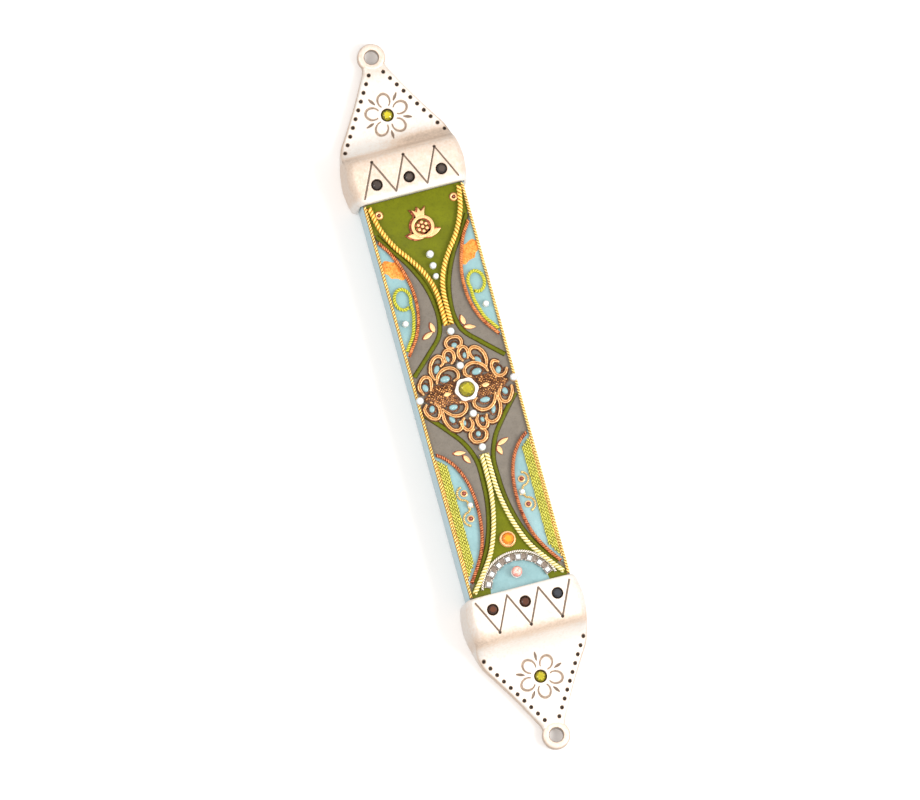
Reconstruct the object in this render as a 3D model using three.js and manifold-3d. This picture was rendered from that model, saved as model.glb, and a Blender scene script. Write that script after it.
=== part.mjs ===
// Mezuzah case: a slim painted box, closed at both ends by cast silver-plated caps, with a
// jewelled face plate on the front and a rolled parchment inside. It hangs upright on a door
// post by the ring at the tip of each cap.
//
// Each piece is laid out with the case on its back: x across, y up the case and z out from the
// wall, in millimetres. The last group stands the case up, so that +Z runs along it, its front
// faces -Y, and the origin is the middle of its flat back.
import * as THREE from 'three';
import { mergeVertices } from 'three/addons/utils/BufferGeometryUtils.js';
import Module from 'manifold-3d';

const wasm = await Module();
wasm.setup();

// ---- Driving dimensions ----
const CASE_LENGTH = 180;
const RUNNING_GAP = 0.3;
const GLUE_LINE = 0.15;

// The box between the caps.
const TUBE_WIDTH = 25.8;
const TUBE_DEPTH = 9.5;
const TUBE_WALL = 1.1;
const TUBE_LENGTH = 122;

// The end caps. Their places along the case are measured from its middle.
const RING_RADIUS = 3.3;
const RING_HOLE_RADIUS = 1.75;
const RING_THICKNESS = 2.6;
const RING_Y = CASE_LENGTH / 2 - RING_RADIUS;
const CAP_WIDTH = 31;
const CAP_DEPTH = 13;
const CAP_CORNER = 2.3;
const MOUTH_Y = 50.3;
const MOUTH_BEVEL = 0.7;
const SHOULDER_Y = 62.2;
const SHOULDER_DROP = 1.6;
const COVE_END_Y = 66.8;
const FLAP_THICKNESS = 2.8;
const FLAP_WIDE_HALF = 13.5;
const FLAP_WIDE_Y = 66.3;
const FLAP_TURN_Y = 63;
const FLAP_SIDE_Y = 61;
const NECK_HALF = 2.9;
const NECK_Y = 83.7;
const NECK_TIP_HALF = 2.7;
const NECK_TIP_Y = 84.8;
const PLUG_LENGTH = 6;

// What is engraved, drilled and set in each cap.
const ENGRAVING_WIDTH = 0.32;
const ENGRAVING_DEPTH = 0.25;
const DOT_RADIUS = 0.42;
const DOT_DEPTH = 0.6;
const DOTS_PER_SIDE = 10;
const FIRST_DOT = [1.85, RING_Y - 4.2];
const LAST_DOT = [12.65, RING_Y - 21.7];
const FLOWER_Y = RING_Y - 14.9;
const PETALS = 5;
const PETAL_DISTANCE = 3.65;
const PETAL_LENGTH = 3.5;
const PETAL_WIDTH = 3;
const PETAL_FROM = -50;
const PETAL_TO = 230;
const TICK_START = 4.1;
const TICK_END = 5.9;
const ZIGZAG_STEP = 3.97;
const ZIGZAG_POINTS = 7;
const ZIGZAG_LOW_Y = RING_Y - 35.1;
const ZIGZAG_HIGH_Y = RING_Y - 26.7;
const PEAK_RADIUS = 0.34;
const PEAK_DEPTH = 0.4;
const BAND_CRYSTAL_STEP = 8.2;
const BAND_CRYSTAL_Y = RING_Y - 32.5;
const CAP_CRYSTAL_RADIUS = 1.4;
const SEAT_DEPTH = 1.1;

// The face plate and what is raised on it.
const PLATE_WIDTH = 25.3;
const PLATE_LENGTH = 120;
const PLATE_THICKNESS = 0.85;
const PLATE_CORNER = 0.8;
const PLATE_TOP = TUBE_DEPTH + GLUE_LINE + PLATE_THICKNESS;
const TRIM_BASE = PLATE_TOP + GLUE_LINE;
const RIDGE_RADIUS = 0.4;
const ROPE_RADIUS = 0.5;
const LENS_ROPE_RADIUS = 0.42;
const LIME_ROPE_RADIUS = 0.35;
const CURL_WIRE_RADIUS = 0.22;
const BORDER_WIDTH = 0.6;
const BORDER_HEIGHT = 0.5;
const BORDER_LENGTH = 99.6;
const PEARL_RADIUS = 0.95;

// The parchment, rolled to an oval that fits the box.
const SCROLL_LENGTH = 100;
const SCROLL_DEPTH = 6.7;
const SCROLL_WIDTH = 10;
const SCROLL_TURNS = 5;
const SCROLL_PITCH = 0.4;
const PARCHMENT = 0.26;

// ---- Lines on the face plate, left side, as [x, y]. The right side mirrors them. ----
const UPPER_ROPE = [
  [-11.4, 49.2], [-10.2, 43.6], [-7.8, 38.4], [-5.2, 34.8], [-3.2, 31.8],
  [-1.7, 28.6], [-0.8, 25], [-0.62, 21], [-0.62, 16.7],
];
const UPPER_RIDGE = [
  [-11.5, 42.2], [-9, 38.2], [-6.6, 34.9], [-4.6, 31.3], [-3, 27.4],
  [-2.05, 23], [-1.9, 18.6], [-3, 14.6], [-6.8, 10.6], [-11.5, 6.2],
];
const UPPER_LENS_ROPE = [
  [-11.4, 40.4], [-9.2, 37], [-7.3, 32], [-6.3, 26.6], [-6.6, 20.9], [-8.4, 15.8], [-11.4, 11.5],
];
const LOWER_ROPE = [
  [-0.62, -16.5], [-0.62, -21], [-0.75, -25.5], [-1.5, -30.4], [-2.8, -35.4],
  [-4.9, -40.5], [-8, -45], [-11.3, -49.2],
];
const LOWER_RIDGE = [
  [-11.5, -3.6], [-7.4, -8.2], [-3.9, -12.8], [-2.1, -17.6], [-1.95, -23], [-2.3, -28],
  [-3.3, -33], [-4.9, -37.8], [-7.2, -42], [-10.4, -46.6],
];
const LOWER_LENS_ROPE = [
  [-11.4, -13.8], [-9.4, -15.4], [-7.2, -18.4], [-5.6, -22.8], [-5, -27.8],
  [-5.3, -33.2], [-6.6, -38.6], [-8.8, -42.8], [-11.3, -46.4],
];
const WOVEN_BAND = [[-11.7, -15.2], [-9.7, -17.2], [-9.7, -42], [-11.7, -45]];

// The lime rope comes up inside the lens and loops once round this centre.
const LIME_TAIL = [[-11.3, 13.1], [-9.2, 16.4], [-7.85, 20.2]];
const LIME_LOOP_CENTRE = [-9.35, 24.9];
const LIME_LOOP_RADIUS = 1.9;

// ---- Finishes ----
const FINISHES = {
  silver: { color: 0xe9dccf, roughness: 0.35, metalness: 0.9 },
  blue_paint: { color: 0xaccbd8, roughness: 0.45, metalness: 0 },
  olive_enamel: { color: 0x6d7316, roughness: 0.4, metalness: 0 },
  gold: { color: 0xe8b84a, roughness: 0.35, metalness: 0.8 },
  cream_gold: { color: 0xf3e298, roughness: 0.4, metalness: 0.5 },
  copper: { color: 0xb5642c, roughness: 0.4, metalness: 0.6 },
  antique_gold: { color: 0xc08a52, roughness: 0.45, metalness: 0.75 },
  lime: { color: 0xb9bf2e, roughness: 0.5, metalness: 0 },
  ivory: { color: 0xd9cfbd, roughness: 0.4, metalness: 0.3 },
  pearl: { color: 0xf4eff2, roughness: 0.2, metalness: 0 },
  coral: { color: 0xe88878, roughness: 0.3, metalness: 0 },
  garnet: { color: 0x7a1c14, roughness: 0.15, metalness: 0 },
  lime_crystal: { color: 0xa8a81c, roughness: 0.05, metalness: 0 },
  smoky_crystal: { color: 0x4a403c, roughness: 0.05, metalness: 0 },
  amber_crystal: { color: 0xf29a1e, roughness: 0.05, metalness: 0 },
  parchment: { color: 0xe8dcc0, roughness: 0.8, metalness: 0 },
};

// ---- Solids and cuts ----

// The closed body of a geometry, ready to be joined or cut.
function solid(geometry) {
  const bare = geometry.clone();
  bare.deleteAttribute('normal');
  bare.deleteAttribute('uv');
  const merged = mergeVertices(bare);
  const index = Array.from(merged.index.array);
  const kept = [];
  for (let i = 0; i < index.length; i += 3) {
    const [a, b, c] = index.slice(i, i + 3);
    if (a !== b && b !== c && c !== a) kept.push(a, b, c);
  }
  const vertProperties = new Float32Array(merged.attributes.position.array);
  const triVerts = new Uint32Array(kept);
  return new wasm.Manifold(new wasm.Mesh({ numProp: 3, vertProperties, triVerts }));
}

function geometryOf(body) {
  const mesh = body.getMesh();
  const geometry = new THREE.BufferGeometry();
  geometry.setAttribute('position', new THREE.BufferAttribute(mesh.vertProperties, 3));
  geometry.setIndex(new THREE.BufferAttribute(mesh.triVerts, 1));
  return geometry;
}

function joined(geometries) {
  return geometryOf(geometries.map(solid).reduce((whole, piece) => whole.add(piece)));
}

function cutFrom(body, cutters) {
  return cutters.reduce((left, cutter) => left.subtract(solid(cutter)), body);
}

// ---- Shapes ----

function polygon(points) {
  return new THREE.Shape(points.map(([x, y]) => new THREE.Vector2(x, y)));
}

function ellipse(x, y, radiusX, radiusY, sides) {
  const points = [];
  for (let i = 0; i < sides; i += 1) {
    const angle = (2 * Math.PI * i) / sides;
    points.push([x + radiusX * Math.cos(angle), y + radiusY * Math.sin(angle)]);
  }
  return polygon(points);
}

function slab(shape, bottom, top, curveSegments = 6) {
  const options = { depth: top - bottom, bevelEnabled: false, curveSegments };
  return new THREE.ExtrudeGeometry(shape, options).translate(0, 0, bottom);
}

function block(xMin, xMax, yMin, yMax, zMin, zMax) {
  const box = new THREE.BoxGeometry(xMax - xMin, yMax - yMin, zMax - zMin);
  return box.translate((xMin + xMax) / 2, (yMin + yMax) / 2, (zMin + zMax) / 2);
}

// An upright peg of the given radius, used for seats and holes.
function peg(x, y, radius, bottom, top, sides) {
  return slab(ellipse(x, y, radius, radius, sides), bottom, top);
}

function ring(x, y, outer, inner, bottom, top, sides) {
  const shape = ellipse(x, y, outer, outer, sides);
  shape.holes.push(ellipse(x, y, inner, inner, sides));
  return slab(shape, bottom, top);
}

// A round wire along a smooth line, with its middle at one height.
function wire(points, radius, height, stepLength) {
  const path = new THREE.CatmullRomCurve3(
    points.map(([x, y]) => new THREE.Vector3(x, y, height)), false, 'centripetal',
  );
  const steps = Math.max(2, Math.round(path.getLength() / stepLength));
  const section = ellipse(0, 0, radius, radius, 6);
  return new THREE.ExtrudeGeometry(section, { steps, extrudePath: path, bevelEnabled: false });
}

function mirrored(points, side) {
  return points.map(([x, y]) => [side * x, y]);
}

// Points along an arc, from one angle to another in degrees.
function arc([x, y], radius, from, to, count) {
  const points = [];
  for (let i = 0; i <= count; i += 1) {
    const angle = THREE.MathUtils.degToRad(from + ((to - from) * i) / count);
    points.push([x + radius * Math.cos(angle), y + radius * Math.sin(angle)]);
  }
  return points;
}

// ---- Assembly helpers ----

function add(group, name, geometry, finish) {
  const mesh = new THREE.Mesh(geometry, new THREE.MeshStandardMaterial(FINISHES[finish]));
  mesh.name = name;
  group.add(mesh);
}

const SIDES = [['left', 1], ['right', -1]];

// ---- End caps ----

// The cap from the front: a band as wide as the case, then a flap that narrows to the ring.
function capPlan() {
  const half = CAP_WIDTH / 2;
  const plan = new THREE.Shape();
  plan.moveTo(-half, MOUTH_Y);
  plan.lineTo(half, MOUTH_Y);
  plan.lineTo(half, FLAP_SIDE_Y);
  plan.quadraticCurveTo(half, FLAP_TURN_Y, FLAP_WIDE_HALF, FLAP_WIDE_Y);
  plan.lineTo(NECK_HALF, NECK_Y);
  plan.lineTo(NECK_TIP_HALF, NECK_TIP_Y);
  plan.lineTo(-NECK_TIP_HALF, NECK_TIP_Y);
  plan.lineTo(-NECK_HALF, NECK_Y);
  plan.lineTo(-FLAP_WIDE_HALF, FLAP_WIDE_Y);
  plan.quadraticCurveTo(-half, FLAP_TURN_Y, -half, FLAP_SIDE_Y);
  return slab(plan, 0, CAP_DEPTH, 3);
}

// The cap from its mouth: flat back, upright sides and rounded front corners.
function capSection() {
  const half = CAP_WIDTH / 2;
  const section = new THREE.Shape();
  section.moveTo(-half, 0);
  section.lineTo(half, 0);
  section.lineTo(half, CAP_DEPTH - CAP_CORNER);
  section.absarc(half - CAP_CORNER, CAP_DEPTH - CAP_CORNER, CAP_CORNER, 0, Math.PI / 2);
  section.lineTo(CAP_CORNER - half, CAP_DEPTH);
  section.absarc(CAP_CORNER - half, CAP_DEPTH - CAP_CORNER, CAP_CORNER, Math.PI / 2, Math.PI);
  const options = { depth: CASE_LENGTH / 2 - MOUTH_Y, bevelEnabled: false, curveSegments: 4 };
  const prism = new THREE.ExtrudeGeometry(section, options).rotateX(Math.PI / 2);
  return prism.translate(0, CASE_LENGTH / 2, 0);
}

// The cap from its side: the band's shoulder falls in a hollow cove to the flap.
function capProfile() {
  const rim = CAP_DEPTH - SHOULDER_DROP;
  const profile = new THREE.Shape();
  profile.moveTo(MOUTH_Y, 0);
  profile.lineTo(CASE_LENGTH / 2, 0);
  profile.lineTo(CASE_LENGTH / 2, FLAP_THICKNESS);
  profile.lineTo(COVE_END_Y, FLAP_THICKNESS);
  const acrossCove = COVE_END_Y - SHOULDER_Y;
  const downCove = rim - FLAP_THICKNESS;
  profile.absellipse(COVE_END_Y, rim, acrossCove, downCove, -Math.PI / 2, -Math.PI, true);
  profile.quadraticCurveTo(SHOULDER_Y, CAP_DEPTH, SHOULDER_Y - SHOULDER_DROP, CAP_DEPTH);
  profile.lineTo(MOUTH_Y + MOUTH_BEVEL, CAP_DEPTH);
  profile.lineTo(MOUTH_Y, CAP_DEPTH - MOUTH_BEVEL);
  const options = { depth: CAP_WIDTH, bevelEnabled: false, curveSegments: 5 };
  const prism = new THREE.ExtrudeGeometry(profile, options).translate(0, 0, -CAP_WIDTH / 2);
  return prism.rotateX(Math.PI / 2).rotateZ(Math.PI / 2);
}

// The pocket takes the end of the box and the face plate. It is open at the mouth and the back.
function capPocket() {
  const half = TUBE_WIDTH / 2 + RUNNING_GAP;
  const end = TUBE_LENGTH / 2 + RUNNING_GAP;
  return block(-half, half, MOUTH_Y - 1, end, -1, PLATE_TOP + RUNNING_GAP);
}

// The plug enters the box and keeps the cap on it.
function capPlug() {
  const half = TUBE_WIDTH / 2 - TUBE_WALL - RUNNING_GAP;
  const root = TUBE_LENGTH / 2 + RUNNING_GAP;
  const bottom = TUBE_WALL + RUNNING_GAP;
  return block(-half, half, root - PLUG_LENGTH, root + 1, bottom, TUBE_DEPTH - bottom);
}

// Two rows of drilled dots follow the slanting edges of the flap.
function dotHoles() {
  const holes = [];
  for (let i = 0; i < DOTS_PER_SIDE; i += 1) {
    const t = i / (DOTS_PER_SIDE - 1);
    const x = THREE.MathUtils.lerp(FIRST_DOT[0], LAST_DOT[0], t);
    const y = THREE.MathUtils.lerp(FIRST_DOT[1], LAST_DOT[1], t);
    for (const side of [-1, 1]) {
      holes.push(peg(side * x, y, DOT_RADIUS, FLAP_THICKNESS - DOT_DEPTH, CAP_DEPTH, 6));
    }
  }
  return holes;
}

// A petal is a U-shaped cut that opens towards the middle of the flower.
function petalGroove(bottom, top) {
  const edge = (offset) => arc([0, 0], 1, PETAL_FROM, PETAL_TO, 10).map(
    ([x, y]) => [x * (PETAL_WIDTH / 2 + offset), PETAL_DISTANCE + y * (PETAL_LENGTH / 2 + offset)],
  );
  const half = ENGRAVING_WIDTH / 2;
  return slab(polygon([...edge(half), ...edge(-half).reverse()]), bottom, top);
}

// Five petals stand round the flower's crystal, with a short tick between each two.
function flowerGrooves() {
  const bottom = FLAP_THICKNESS - ENGRAVING_DEPTH;
  const top = FLAP_THICKNESS + 1;
  const half = ENGRAVING_WIDTH / 2;
  const grooves = [];
  for (let i = 0; i < PETALS; i += 1) {
    const turn = (2 * Math.PI * i) / PETALS;
    const tick = block(-half, half, TICK_START, TICK_END, bottom, top);
    tick.rotateZ(turn + Math.PI / PETALS);
    grooves.push(petalGroove(bottom, top).rotateZ(turn), tick);
  }
  return grooves.map((groove) => groove.translate(0, FLOWER_Y, 0));
}

// A straight cut from one point to the next across the front of the band.
function bandGroove([x0, y0], [x1, y1]) {
  const length = Math.hypot(x1 - x0, y1 - y0);
  const half = ENGRAVING_WIDTH / 2;
  const groove = block(-half, length + half, -half, half, CAP_DEPTH - ENGRAVING_DEPTH, CAP_DEPTH + 1);
  return groove.rotateZ(Math.atan2(y1 - y0, x1 - x0)).translate(x0, y0, 0);
}

// The zigzag is cut in straight strokes, with a drilled dot at each peak.
function zigzagGrooves() {
  const points = [];
  for (let i = 0; i < ZIGZAG_POINTS; i += 1) {
    const x = (i - (ZIGZAG_POINTS - 1) / 2) * ZIGZAG_STEP;
    points.push([x, i % 2 === 0 ? ZIGZAG_LOW_Y : ZIGZAG_HIGH_Y]);
  }
  const grooves = points.slice(1).map((point, i) => bandGroove(points[i], point));
  const peaks = points.filter((point) => point[1] === ZIGZAG_HIGH_Y);
  const ends = peaks.map(([x, y]) => peg(x, y, PEAK_RADIUS, CAP_DEPTH - PEAK_DEPTH, CAP_DEPTH + 1, 6));
  return [...grooves, ...ends];
}

function bandCrystalPlaces() {
  return [-1, 0, 1].map((step) => [step * BAND_CRYSTAL_STEP, BAND_CRYSTAL_Y]);
}

function crystalSeats() {
  const radius = CAP_CRYSTAL_RADIUS + GLUE_LINE;
  const seats = bandCrystalPlaces().map(
    ([x, y]) => peg(x, y, radius, CAP_DEPTH - SEAT_DEPTH, CAP_DEPTH + 1, 12),
  );
  seats.push(peg(0, FLOWER_Y, radius, FLAP_THICKNESS - SEAT_DEPTH, FLAP_THICKNESS + 1, 12));
  return seats;
}

function capGeometry() {
  const blank = solid(capPlan()).intersect(solid(capSection())).intersect(solid(capProfile()));
  const hanger = peg(0, RING_Y, RING_RADIUS, 0, RING_THICKNESS, 20);
  const open = blank.add(solid(hanger)).subtract(solid(capPocket()));
  const cutters = [
    peg(0, RING_Y, RING_HOLE_RADIUS, -1, CAP_DEPTH, 14),
    ...dotHoles(),
    ...flowerGrooves(),
    ...zigzagGrooves(),
    ...crystalSeats(),
  ];
  return geometryOf(cutFrom(open.add(solid(capPlug())), cutters));
}

// A round stone: flat table, sloping crown and a pointed pavilion below the girdle.
function crystal(x, y, radius, seat) {
  const profile = [[0, 0], [radius, radius * 0.5], [radius * 0.6, radius * 0.85], [0, radius * 0.85]];
  const stone = new THREE.LatheGeometry(profile.map(([r, z]) => new THREE.Vector2(r, z)), 8);
  return stone.rotateX(Math.PI / 2).translate(x, y, seat);
}

function capPieces(end) {
  const group = new THREE.Group();
  add(group, `${end}_cap`, capGeometry(), 'silver');
  const names = ['left', 'middle', 'right'];
  bandCrystalPlaces().forEach(([x, y], i) => {
    const seat = CAP_DEPTH - SEAT_DEPTH + GLUE_LINE;
    const stone = crystal(x, y, CAP_CRYSTAL_RADIUS, seat);
    add(group, `${end}_${names[i]}_band_crystal`, stone, 'smoky_crystal');
  });
  const flowerSeat = FLAP_THICKNESS - SEAT_DEPTH + GLUE_LINE;
  const flowerStone = crystal(0, FLOWER_Y, CAP_CRYSTAL_RADIUS, flowerSeat);
  add(group, `${end}_flower_crystal`, flowerStone, 'lime_crystal');
  return group;
}

// ---- Box and parchment ----

function bodyTube() {
  const half = TUBE_WIDTH / 2;
  const outer = block(-half, half, -TUBE_LENGTH / 2, TUBE_LENGTH / 2, 0, TUBE_DEPTH);
  const bore = block(
    TUBE_WALL - half, half - TUBE_WALL, -TUBE_LENGTH, TUBE_LENGTH,
    TUBE_WALL, TUBE_DEPTH - TUBE_WALL,
  );
  return geometryOf(solid(outer).subtract(solid(bore)));
}

// One edge of the rolled sheet, a little inside or outside its middle line.
function scrollEdge(offset) {
  const outer = (SCROLL_DEPTH - PARCHMENT) / 2;
  const stretch = (SCROLL_WIDTH - SCROLL_DEPTH) / 2;
  const perTurn = 14;
  const points = [];
  for (let i = 0; i <= SCROLL_TURNS * perTurn; i += 1) {
    const angle = (2 * Math.PI * i) / perTurn;
    const radius = outer - (SCROLL_PITCH * i) / perTurn + offset;
    points.push([(radius + stretch) * Math.cos(angle), radius * Math.sin(angle)]);
  }
  return points;
}

// The parchment rests on the plug of the lower cap.
function scroll() {
  const outside = scrollEdge(PARCHMENT / 2);
  const inside = scrollEdge(-PARCHMENT / 2);
  const section = polygon([...outside, ...inside.reverse()]);
  const bottom = PLUG_LENGTH - TUBE_LENGTH / 2;
  const roll = slab(section, 0, SCROLL_LENGTH).rotateX(-Math.PI / 2);
  return roll.translate(0, bottom, TUBE_DEPTH / 2);
}

// ---- Face plate and its lines ----

function platePlan() {
  const half = PLATE_WIDTH / 2;
  const end = PLATE_LENGTH / 2;
  const inner = half - PLATE_CORNER;
  const short = end - PLATE_CORNER;
  return polygon([
    [-inner, -end], [inner, -end], [half, -short], [half, short],
    [inner, end], [-inner, end], [-half, short], [-half, -short],
  ]);
}

// Olive ridges part the colour fields. They are half sunk in the plate and are one with it.
function facePlate() {
  const pieces = [slab(platePlan(), PLATE_TOP - PLATE_THICKNESS, PLATE_TOP)];
  for (const side of [-1, 1]) {
    pieces.push(wire(mirrored(UPPER_RIDGE, side), RIDGE_RADIUS, PLATE_TOP, 3.4));
    pieces.push(wire(mirrored(LOWER_RIDGE, side), RIDGE_RADIUS, PLATE_TOP, 3.4));
  }
  return joined(pieces);
}

function borderWire(side) {
  const outer = side * (PLATE_WIDTH / 2);
  const inner = outer - side * BORDER_WIDTH;
  const half = BORDER_LENGTH / 2;
  const [xMin, xMax] = [outer, inner].sort((a, b) => a - b);
  return block(xMin, xMax, -half, half, TRIM_BASE, TRIM_BASE + BORDER_HEIGHT);
}

function rope(points, side, radius, stepLength = 2.6) {
  return wire(mirrored(points, side), radius, TRIM_BASE + radius, stepLength);
}

// The tail runs straight into the loop, which stops short of closing on it.
function limeRope(side) {
  const loop = arc(LIME_LOOP_CENTRE, LIME_LOOP_RADIUS, -20, 265, 12);
  return rope([...LIME_TAIL, ...loop], side, LIME_ROPE_RADIUS, 1.3);
}

function wovenBand(side) {
  const points = mirrored(WOVEN_BAND, side);
  return slab(polygon(points), TRIM_BASE, TRIM_BASE + 0.45);
}

function facePieces() {
  const group = new THREE.Group();
  add(group, 'face_plate', facePlate(), 'olive_enamel');
  for (const [name, side] of SIDES) {
    add(group, `${name}_border_wire`, borderWire(-side), 'gold');
    add(group, `upper_${name}_rope`, rope(UPPER_ROPE, side, ROPE_RADIUS), 'gold');
    add(group, `lower_${name}_rope`, rope(LOWER_ROPE, side, ROPE_RADIUS), 'cream_gold');
    add(group, `upper_${name}_lens_rope`, rope(UPPER_LENS_ROPE, side, LENS_ROPE_RADIUS), 'copper');
    add(group, `lower_${name}_lens_rope`, rope(LOWER_LENS_ROPE, side, LENS_ROPE_RADIUS), 'copper');
    add(group, `${name}_lime_rope`, limeRope(side), 'lime');
    add(group, `${name}_woven_band`, wovenBand(side), 'lime');
  }
  return group;
}

// ---- Emblem ----

const EMBLEM_CENTRE = [0.2, 42.4];
const EMBLEM_HEIGHT = 0.8;
const FRUIT_MIDDLE_Y = -0.7;
const FRUIT_RADIUS = 2.8;
const FRUIT_WALL = 0.75;
const FRUIT_ROOT_Y = -3.3;
const CROWN = [[-1, 1.7], [-1.7, 3.9], [-0.55, 3.1], [0, 4.1], [0.55, 3.1], [1.7, 3.9], [1, 1.7]];

// The core and the two leaves of the emblem, as lean in degrees, length and width.
const FRUIT_LEAVES = [[0, 5.2, 1.3], [75, 4.3, 1.5], [-75, 4.3, 1.5]];

// A pointed leaf that grows from the root at a lean.
function emblemLeaf(lean, length, width) {
  const edge = [
    [0, 0], [width * 0.35, length * 0.2], [width / 2, length * 0.45],
    [width * 0.35, length * 0.72], [0, length],
  ];
  const otherEdge = mirrored(edge.slice(1, -1).reverse(), -1);
  const leaf = slab(polygon([...edge, ...otherEdge]), TRIM_BASE, TRIM_BASE + EMBLEM_HEIGHT);
  return leaf.rotateZ(THREE.MathUtils.degToRad(-lean)).translate(0, FRUIT_ROOT_Y, 0);
}

// A cut pomegranate in outline: an open ring with a core, a three-pointed crown and two leaves.
function emblem() {
  const top = TRIM_BASE + EMBLEM_HEIGHT;
  const inner = FRUIT_RADIUS - FRUIT_WALL;
  const fruit = ring(0, FRUIT_MIDDLE_Y, FRUIT_RADIUS, inner, TRIM_BASE, top, 18);
  const crown = slab(polygon(CROWN), TRIM_BASE, top);
  const leaves = FRUIT_LEAVES.map((leaf) => emblemLeaf(...leaf));
  return joined([fruit, crown, ...leaves]).translate(...EMBLEM_CENTRE, 0);
}

// ---- Rosette ----

// Each loop of the filigree as [x, y, outer radius], in the upper right quarter.
const FILIGREE_LOOPS = [[2.3, 8.7, 1.7], [5.2, 6.6, 2], [4, 3.7, 2.2], [9.2, 2.6, 1.9]];
const FILIGREE_END_LOOP = [11.3, 2];
const FILIGREE_STRAND = 0.6;
const FILIGREE_HEIGHT = 0.8;
const FILIGREE_CORE = [[10.6, 0], [7.5, 1.6], [0, 3.2], [-7.5, 1.6], [-10.6, 0]];
const SETTING_RADIUS = 3.1;
const SETTING_HEIGHT = 1.1;
const CENTRE_CRYSTAL_RADIUS = 1.9;

function filigreeLoop(x, y, radius) {
  const top = TRIM_BASE + FILIGREE_HEIGHT;
  return ring(x, y, radius, radius - FILIGREE_STRAND, TRIM_BASE, top, 12);
}

// Fourteen loops of drawn wire hold each other round a thin core, which carries the setting.
function filigree() {
  const lowerHalf = FILIGREE_CORE.slice(1, -1).map(([x, y]) => [x, -y]);
  const outline = [...FILIGREE_CORE, ...lowerHalf.reverse()];
  const pieces = [slab(polygon(outline), TRIM_BASE, TRIM_BASE + FILIGREE_HEIGHT / 2)];
  for (const [x, y, radius] of FILIGREE_LOOPS) {
    for (const [turnX, turnY] of [[1, 1], [1, -1], [-1, 1], [-1, -1]]) {
      pieces.push(filigreeLoop(turnX * x, turnY * y, radius));
    }
  }
  const [endY, endRadius] = FILIGREE_END_LOOP;
  pieces.push(filigreeLoop(0, endY, endRadius), filigreeLoop(0, -endY, endRadius));
  return joined(pieces);
}

// The setting is a six-sided cup that stands on the core of the filigree.
function setting() {
  const bottom = TRIM_BASE + FILIGREE_HEIGHT / 2 + GLUE_LINE;
  const cup = peg(0, 0, SETTING_RADIUS, bottom, bottom + SETTING_HEIGHT, 6);
  const seatRadius = CENTRE_CRYSTAL_RADIUS + GLUE_LINE;
  const seat = peg(0, 0, seatRadius, bottom + SETTING_HEIGHT / 3, bottom + 2 * SETTING_HEIGHT, 16);
  return geometryOf(solid(cup).subtract(solid(seat)));
}

function centreCrystal() {
  const bottom = TRIM_BASE + FILIGREE_HEIGHT / 2 + GLUE_LINE + SETTING_HEIGHT / 3;
  return crystal(0, 0, CENTRE_CRYSTAL_RADIUS, bottom + GLUE_LINE);
}

function rosettePieces() {
  const group = new THREE.Group();
  add(group, 'filigree', filigree(), 'antique_gold');
  add(group, 'setting', setting(), 'ivory');
  add(group, 'centre_crystal', centreCrystal(), 'lime_crystal');
  return group;
}

// ---- Beads and stones ----

// A bead that rests on the plate, or on something of the given height that lies on it.
function bead(x, y, radius, lift = 0, columns = 8, rows = 6) {
  const ball = new THREE.SphereGeometry(radius, columns, rows).rotateX(Math.PI / 2);
  return ball.translate(x, y, TRIM_BASE + lift + radius);
}

const BORDER_LIFT = BORDER_HEIGHT + GLUE_LINE;

// Each pearl as its name, [x, y], radius and the height of what it rests on.
const PEARLS = [
  ['rosette_top_pearl', [0, 14.9], PEARL_RADIUS, 0],
  ['rosette_bottom_pearl', [0, -14.7], PEARL_RADIUS, 0],
  ['rosette_left_pearl', [-11.9, 0], PEARL_RADIUS, BORDER_LIFT],
  ['rosette_right_pearl', [11.9, 0], PEARL_RADIUS, BORDER_LIFT],
  ['rosette_upper_pearl', [0, 6.1], PEARL_RADIUS, 0],
  ['rosette_lower_pearl', [0, -6.1], PEARL_RADIUS, 0],
  ['row_first_pearl', [0.1, 34.6], PEARL_RADIUS, 0],
  ['row_second_pearl', [0.1, 31.7], 0.85, 0],
  ['row_third_pearl', [0.1, 29], 0.75, 0],
  ['left_lens_pearl', [-10.2, 19.4], 0.8, 0],
  ['right_lens_pearl', [10.2, 19.4], 0.8, 0],
];

function cornerRing(x, y) {
  return ring(x, y, 0.9, 0.5, TRIM_BASE, TRIM_BASE + 0.5, 12);
}

const BEZEL_PLACE = [0.1, -38.1];
const BEZEL_RADIUS = 1.9;

// A low gold cup for the amber stone.
function bezel() {
  const [x, y] = BEZEL_PLACE;
  const cup = peg(x, y, BEZEL_RADIUS, TRIM_BASE, TRIM_BASE + 0.9, 16);
  const seat = peg(x, y, CAP_CRYSTAL_RADIUS + GLUE_LINE, TRIM_BASE + 0.3, PLATE_TOP + 3, 12);
  return geometryOf(solid(cup).subtract(solid(seat)));
}

function beadPieces() {
  const group = new THREE.Group();
  for (const [name, [x, y], radius, lift] of PEARLS) {
    add(group, name, bead(x, y, radius, lift), 'pearl');
  }
  for (const [name, side] of SIDES) {
    const x = -9.5 * side;
    add(group, `${name}_corner_ring`, cornerRing(x, 47), 'gold');
    add(group, `${name}_corner_garnet`, bead(x, 47, 0.4, 0, 6, 4), 'garnet');
  }
  add(group, 'bezel', bezel(), 'gold');
  const amberSeat = TRIM_BASE + 0.3 + GLUE_LINE;
  add(group, 'amber_crystal', crystal(...BEZEL_PLACE, CAP_CRYSTAL_RADIUS, amberSeat), 'amber_crystal');
  add(group, 'coral_bead', bead(0.1, -46.5, 1.35), 'coral');
  return group;
}

// ---- Curls beside the lower lenses ----

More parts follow.
